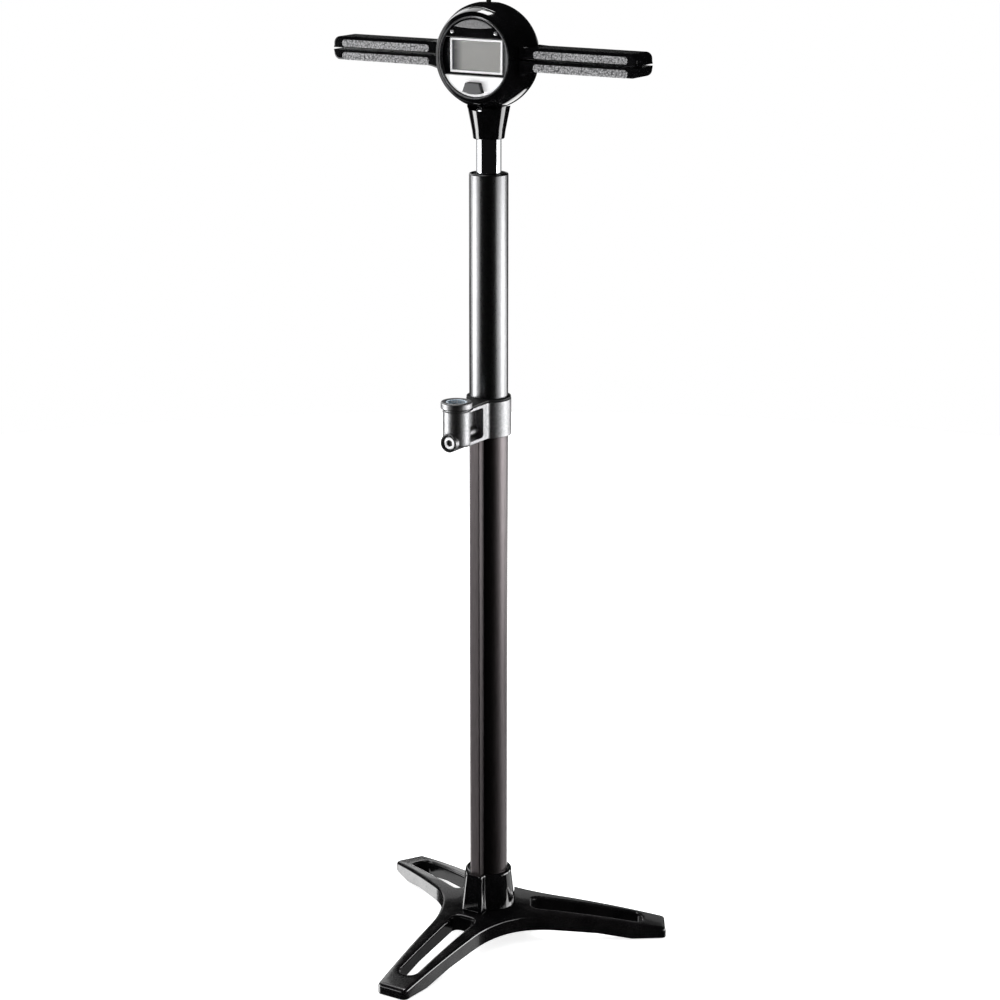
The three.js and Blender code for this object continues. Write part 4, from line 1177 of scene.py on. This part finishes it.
def build_stage():
    """A round pale floor. Glossy rays pass it, so that the softboxes reach below it in reflections."""
    look = Look("studio_floor", Emission_Color=(1, 1, 1, 1), Emission_Strength=0.75)
    look.colour((400,), (0.86, 0.86, 0.86), (0.90, 0.90, 0.90)).rough((300,), 0.8, 0.9)
    rim = circle(1800, 96)
    floor = place("studio_floor", ([(x, y, 0) for x, y in rim], [list(range(len(rim)))]))
    floor.data.materials.append(look.material)
    floor.visible_glossy = False


def build_world():
    """White for the camera, and nearly black for every other ray."""
    world = bpy.data.worlds.new("studio")
    bpy.context.scene.world = world
    world.use_nodes = True
    tree = world.node_tree
    tree.nodes.clear()
    output = tree.nodes.new("ShaderNodeOutputWorld")
    mix = tree.nodes.new("ShaderNodeMixShader")
    path = tree.nodes.new("ShaderNodeLightPath")
    dim, bright = (tree.nodes.new("ShaderNodeBackground") for _ in range(2))
    dim.inputs["Color"].default_value = (0.006, 0.006, 0.006, 1)
    bright.inputs["Color"].default_value = (1, 1, 1, 1)
    sources = (path.outputs["Is Camera Ray"], dim.outputs[0], bright.outputs[0])
    for source, socket in zip(sources, mix.inputs):
        tree.links.new(source, socket)
    tree.links.new(mix.outputs[0], output.inputs["Surface"])


def limited(light, state, *nodes):
    """INCLUDE lights only these pieces, EXCLUDE lights all but them, as black cards would."""
    group = bpy.data.collections.new(light.name + "_pieces")
    for node in nodes:
        group.objects.link(bpy.data.objects[node + "_finished"])
    for entry in group.collection_objects:
        entry.light_linking.link_state = state
    light.light_linking.receiver_collection = group
    return light


def spares(light, *nodes):
    return limited(light, "EXCLUDE", *nodes)


def build_lights():
    """Softboxes at the sides, behind and above, whose reflections draw the stripes on each piece."""
    head = ("head_body", "head_bezel", "head_rear_cover")
    grips = [f"{side}_grip_{part}" for side in ("left", "right") for part in ("upper", "lower")]
    above = ("piston_rod", "neck", *head, *grips)
    side_light("left_wide", -92, 1.5, -0.6, 0.95, 0.8, 1.5)
    side_light("left_back", -117, 1.5, 0.38, 0.95, 0.8, 1.2)
    spares(side_light("left_core", -90, 1.4, -1.2, 0.45, 0.6, 7), *head)
    spares(side_light("left_tube", -90, 1.35, 0.15, 0.45, 1.8, 4), *above, "base_socket")
    side_light("left_floor", -124, 0.5, -0.3, -0.12, 0.3, 2.4)
    spares(side_light("right_wide", 98, 1.5, -0.25, 0.42, 2.1, 1.1), *above)
    spares(side_light("right_core", 92, 1.4, -0.12, 0.42, 0.7, 6), *head, *grips)
    spares(side_light("right_tube", 80, 1.35, 0.15, 0.45, 1.7, 4), *above, "base_socket")
    spares(side_light("right_back", 122, 1.4, -0.1, 0.28, 0.4, 4), *above)
    spares(side_light("right_floor", 112, 0.5, -0.3, 0.0, 0.35, 0.9), *above)
    limited(side_light("left_rod", -88, 1.45, -0.1, 1.5, 0.95, 1.3), "INCLUDE", "piston_rod")
    limited(side_light("right_rod", 105, 1.45, -0.1, 1.5, 1.6, 1.3), "INCLUDE", "piston_rod")
    limited(side_light("grip_edges", 28, 1.6, 0.3, 0.8, 0.3, 5), "INCLUDE", *grips)
    spares(side_light("back_right", 165, 1.4, -1.2, -0.05, 1.1, 2.6), *grips)
    side_light("back_left", -150, 1.8, 0.75, 1.9, 0.9, 2.2)
    side_light("back_low", -165, 2.0, 0.18, 0.42, 1.2, 1.0)
    side_light("back_base", 178, 2.0, 0.45, 0.85, 2.0, 0.35)
    crown = Vector((0, POLE_Y * MM, BEZEL.z1 * MM))
    spares(panel_light("top", from_camera(-128, 0.37, 2.1), crown, 0.9, 0.5, 11), *grips)
    spares(panel_light("crown", from_camera(-142, 1.0, 1.9), crown, 0.9, 0.9, 2), "base_socket", *grips)
    fill = panel_light("front_fill", from_camera(-35, 2.0, 1.0), crown, 1.0, 1.0, 2.5)
    fill.visible_glossy = False
    wash = panel_light("floor_wash", Vector((0, 0, 2.6)), Vector((0, 0, 0)), 5.2, 5.2, 0.9)
    wash.visible_glossy = False


def build_camera():
    """The camera that was fitted to the legs, the barrel and the handle."""
    data = bpy.data.cameras.new("camera")
    data.lens = 93.70
    data.sensor_width = 36
    data.shift_x = 0.0113
    data.shift_y = -0.0026
    camera = bpy.data.objects.new("camera", data)
    camera.location = (1.0281, -1.6388, 0.9132)
    camera.rotation_euler = (math.radians(74.47), 0, CAMERA_AZIMUTH)
    bpy.context.scene.collection.objects.link(camera)
    bpy.context.scene.camera = camera
    bpy.context.scene.view_settings.view_transform = "Standard"


build_base()
build_socket()
build_barrel()
build_collar()
build_head()
build_face()
build_display()
build_arm("left")
build_arm("right")
build_spring()
finish_hidden()
build_stage()
build_world()
build_lights()
build_camera()
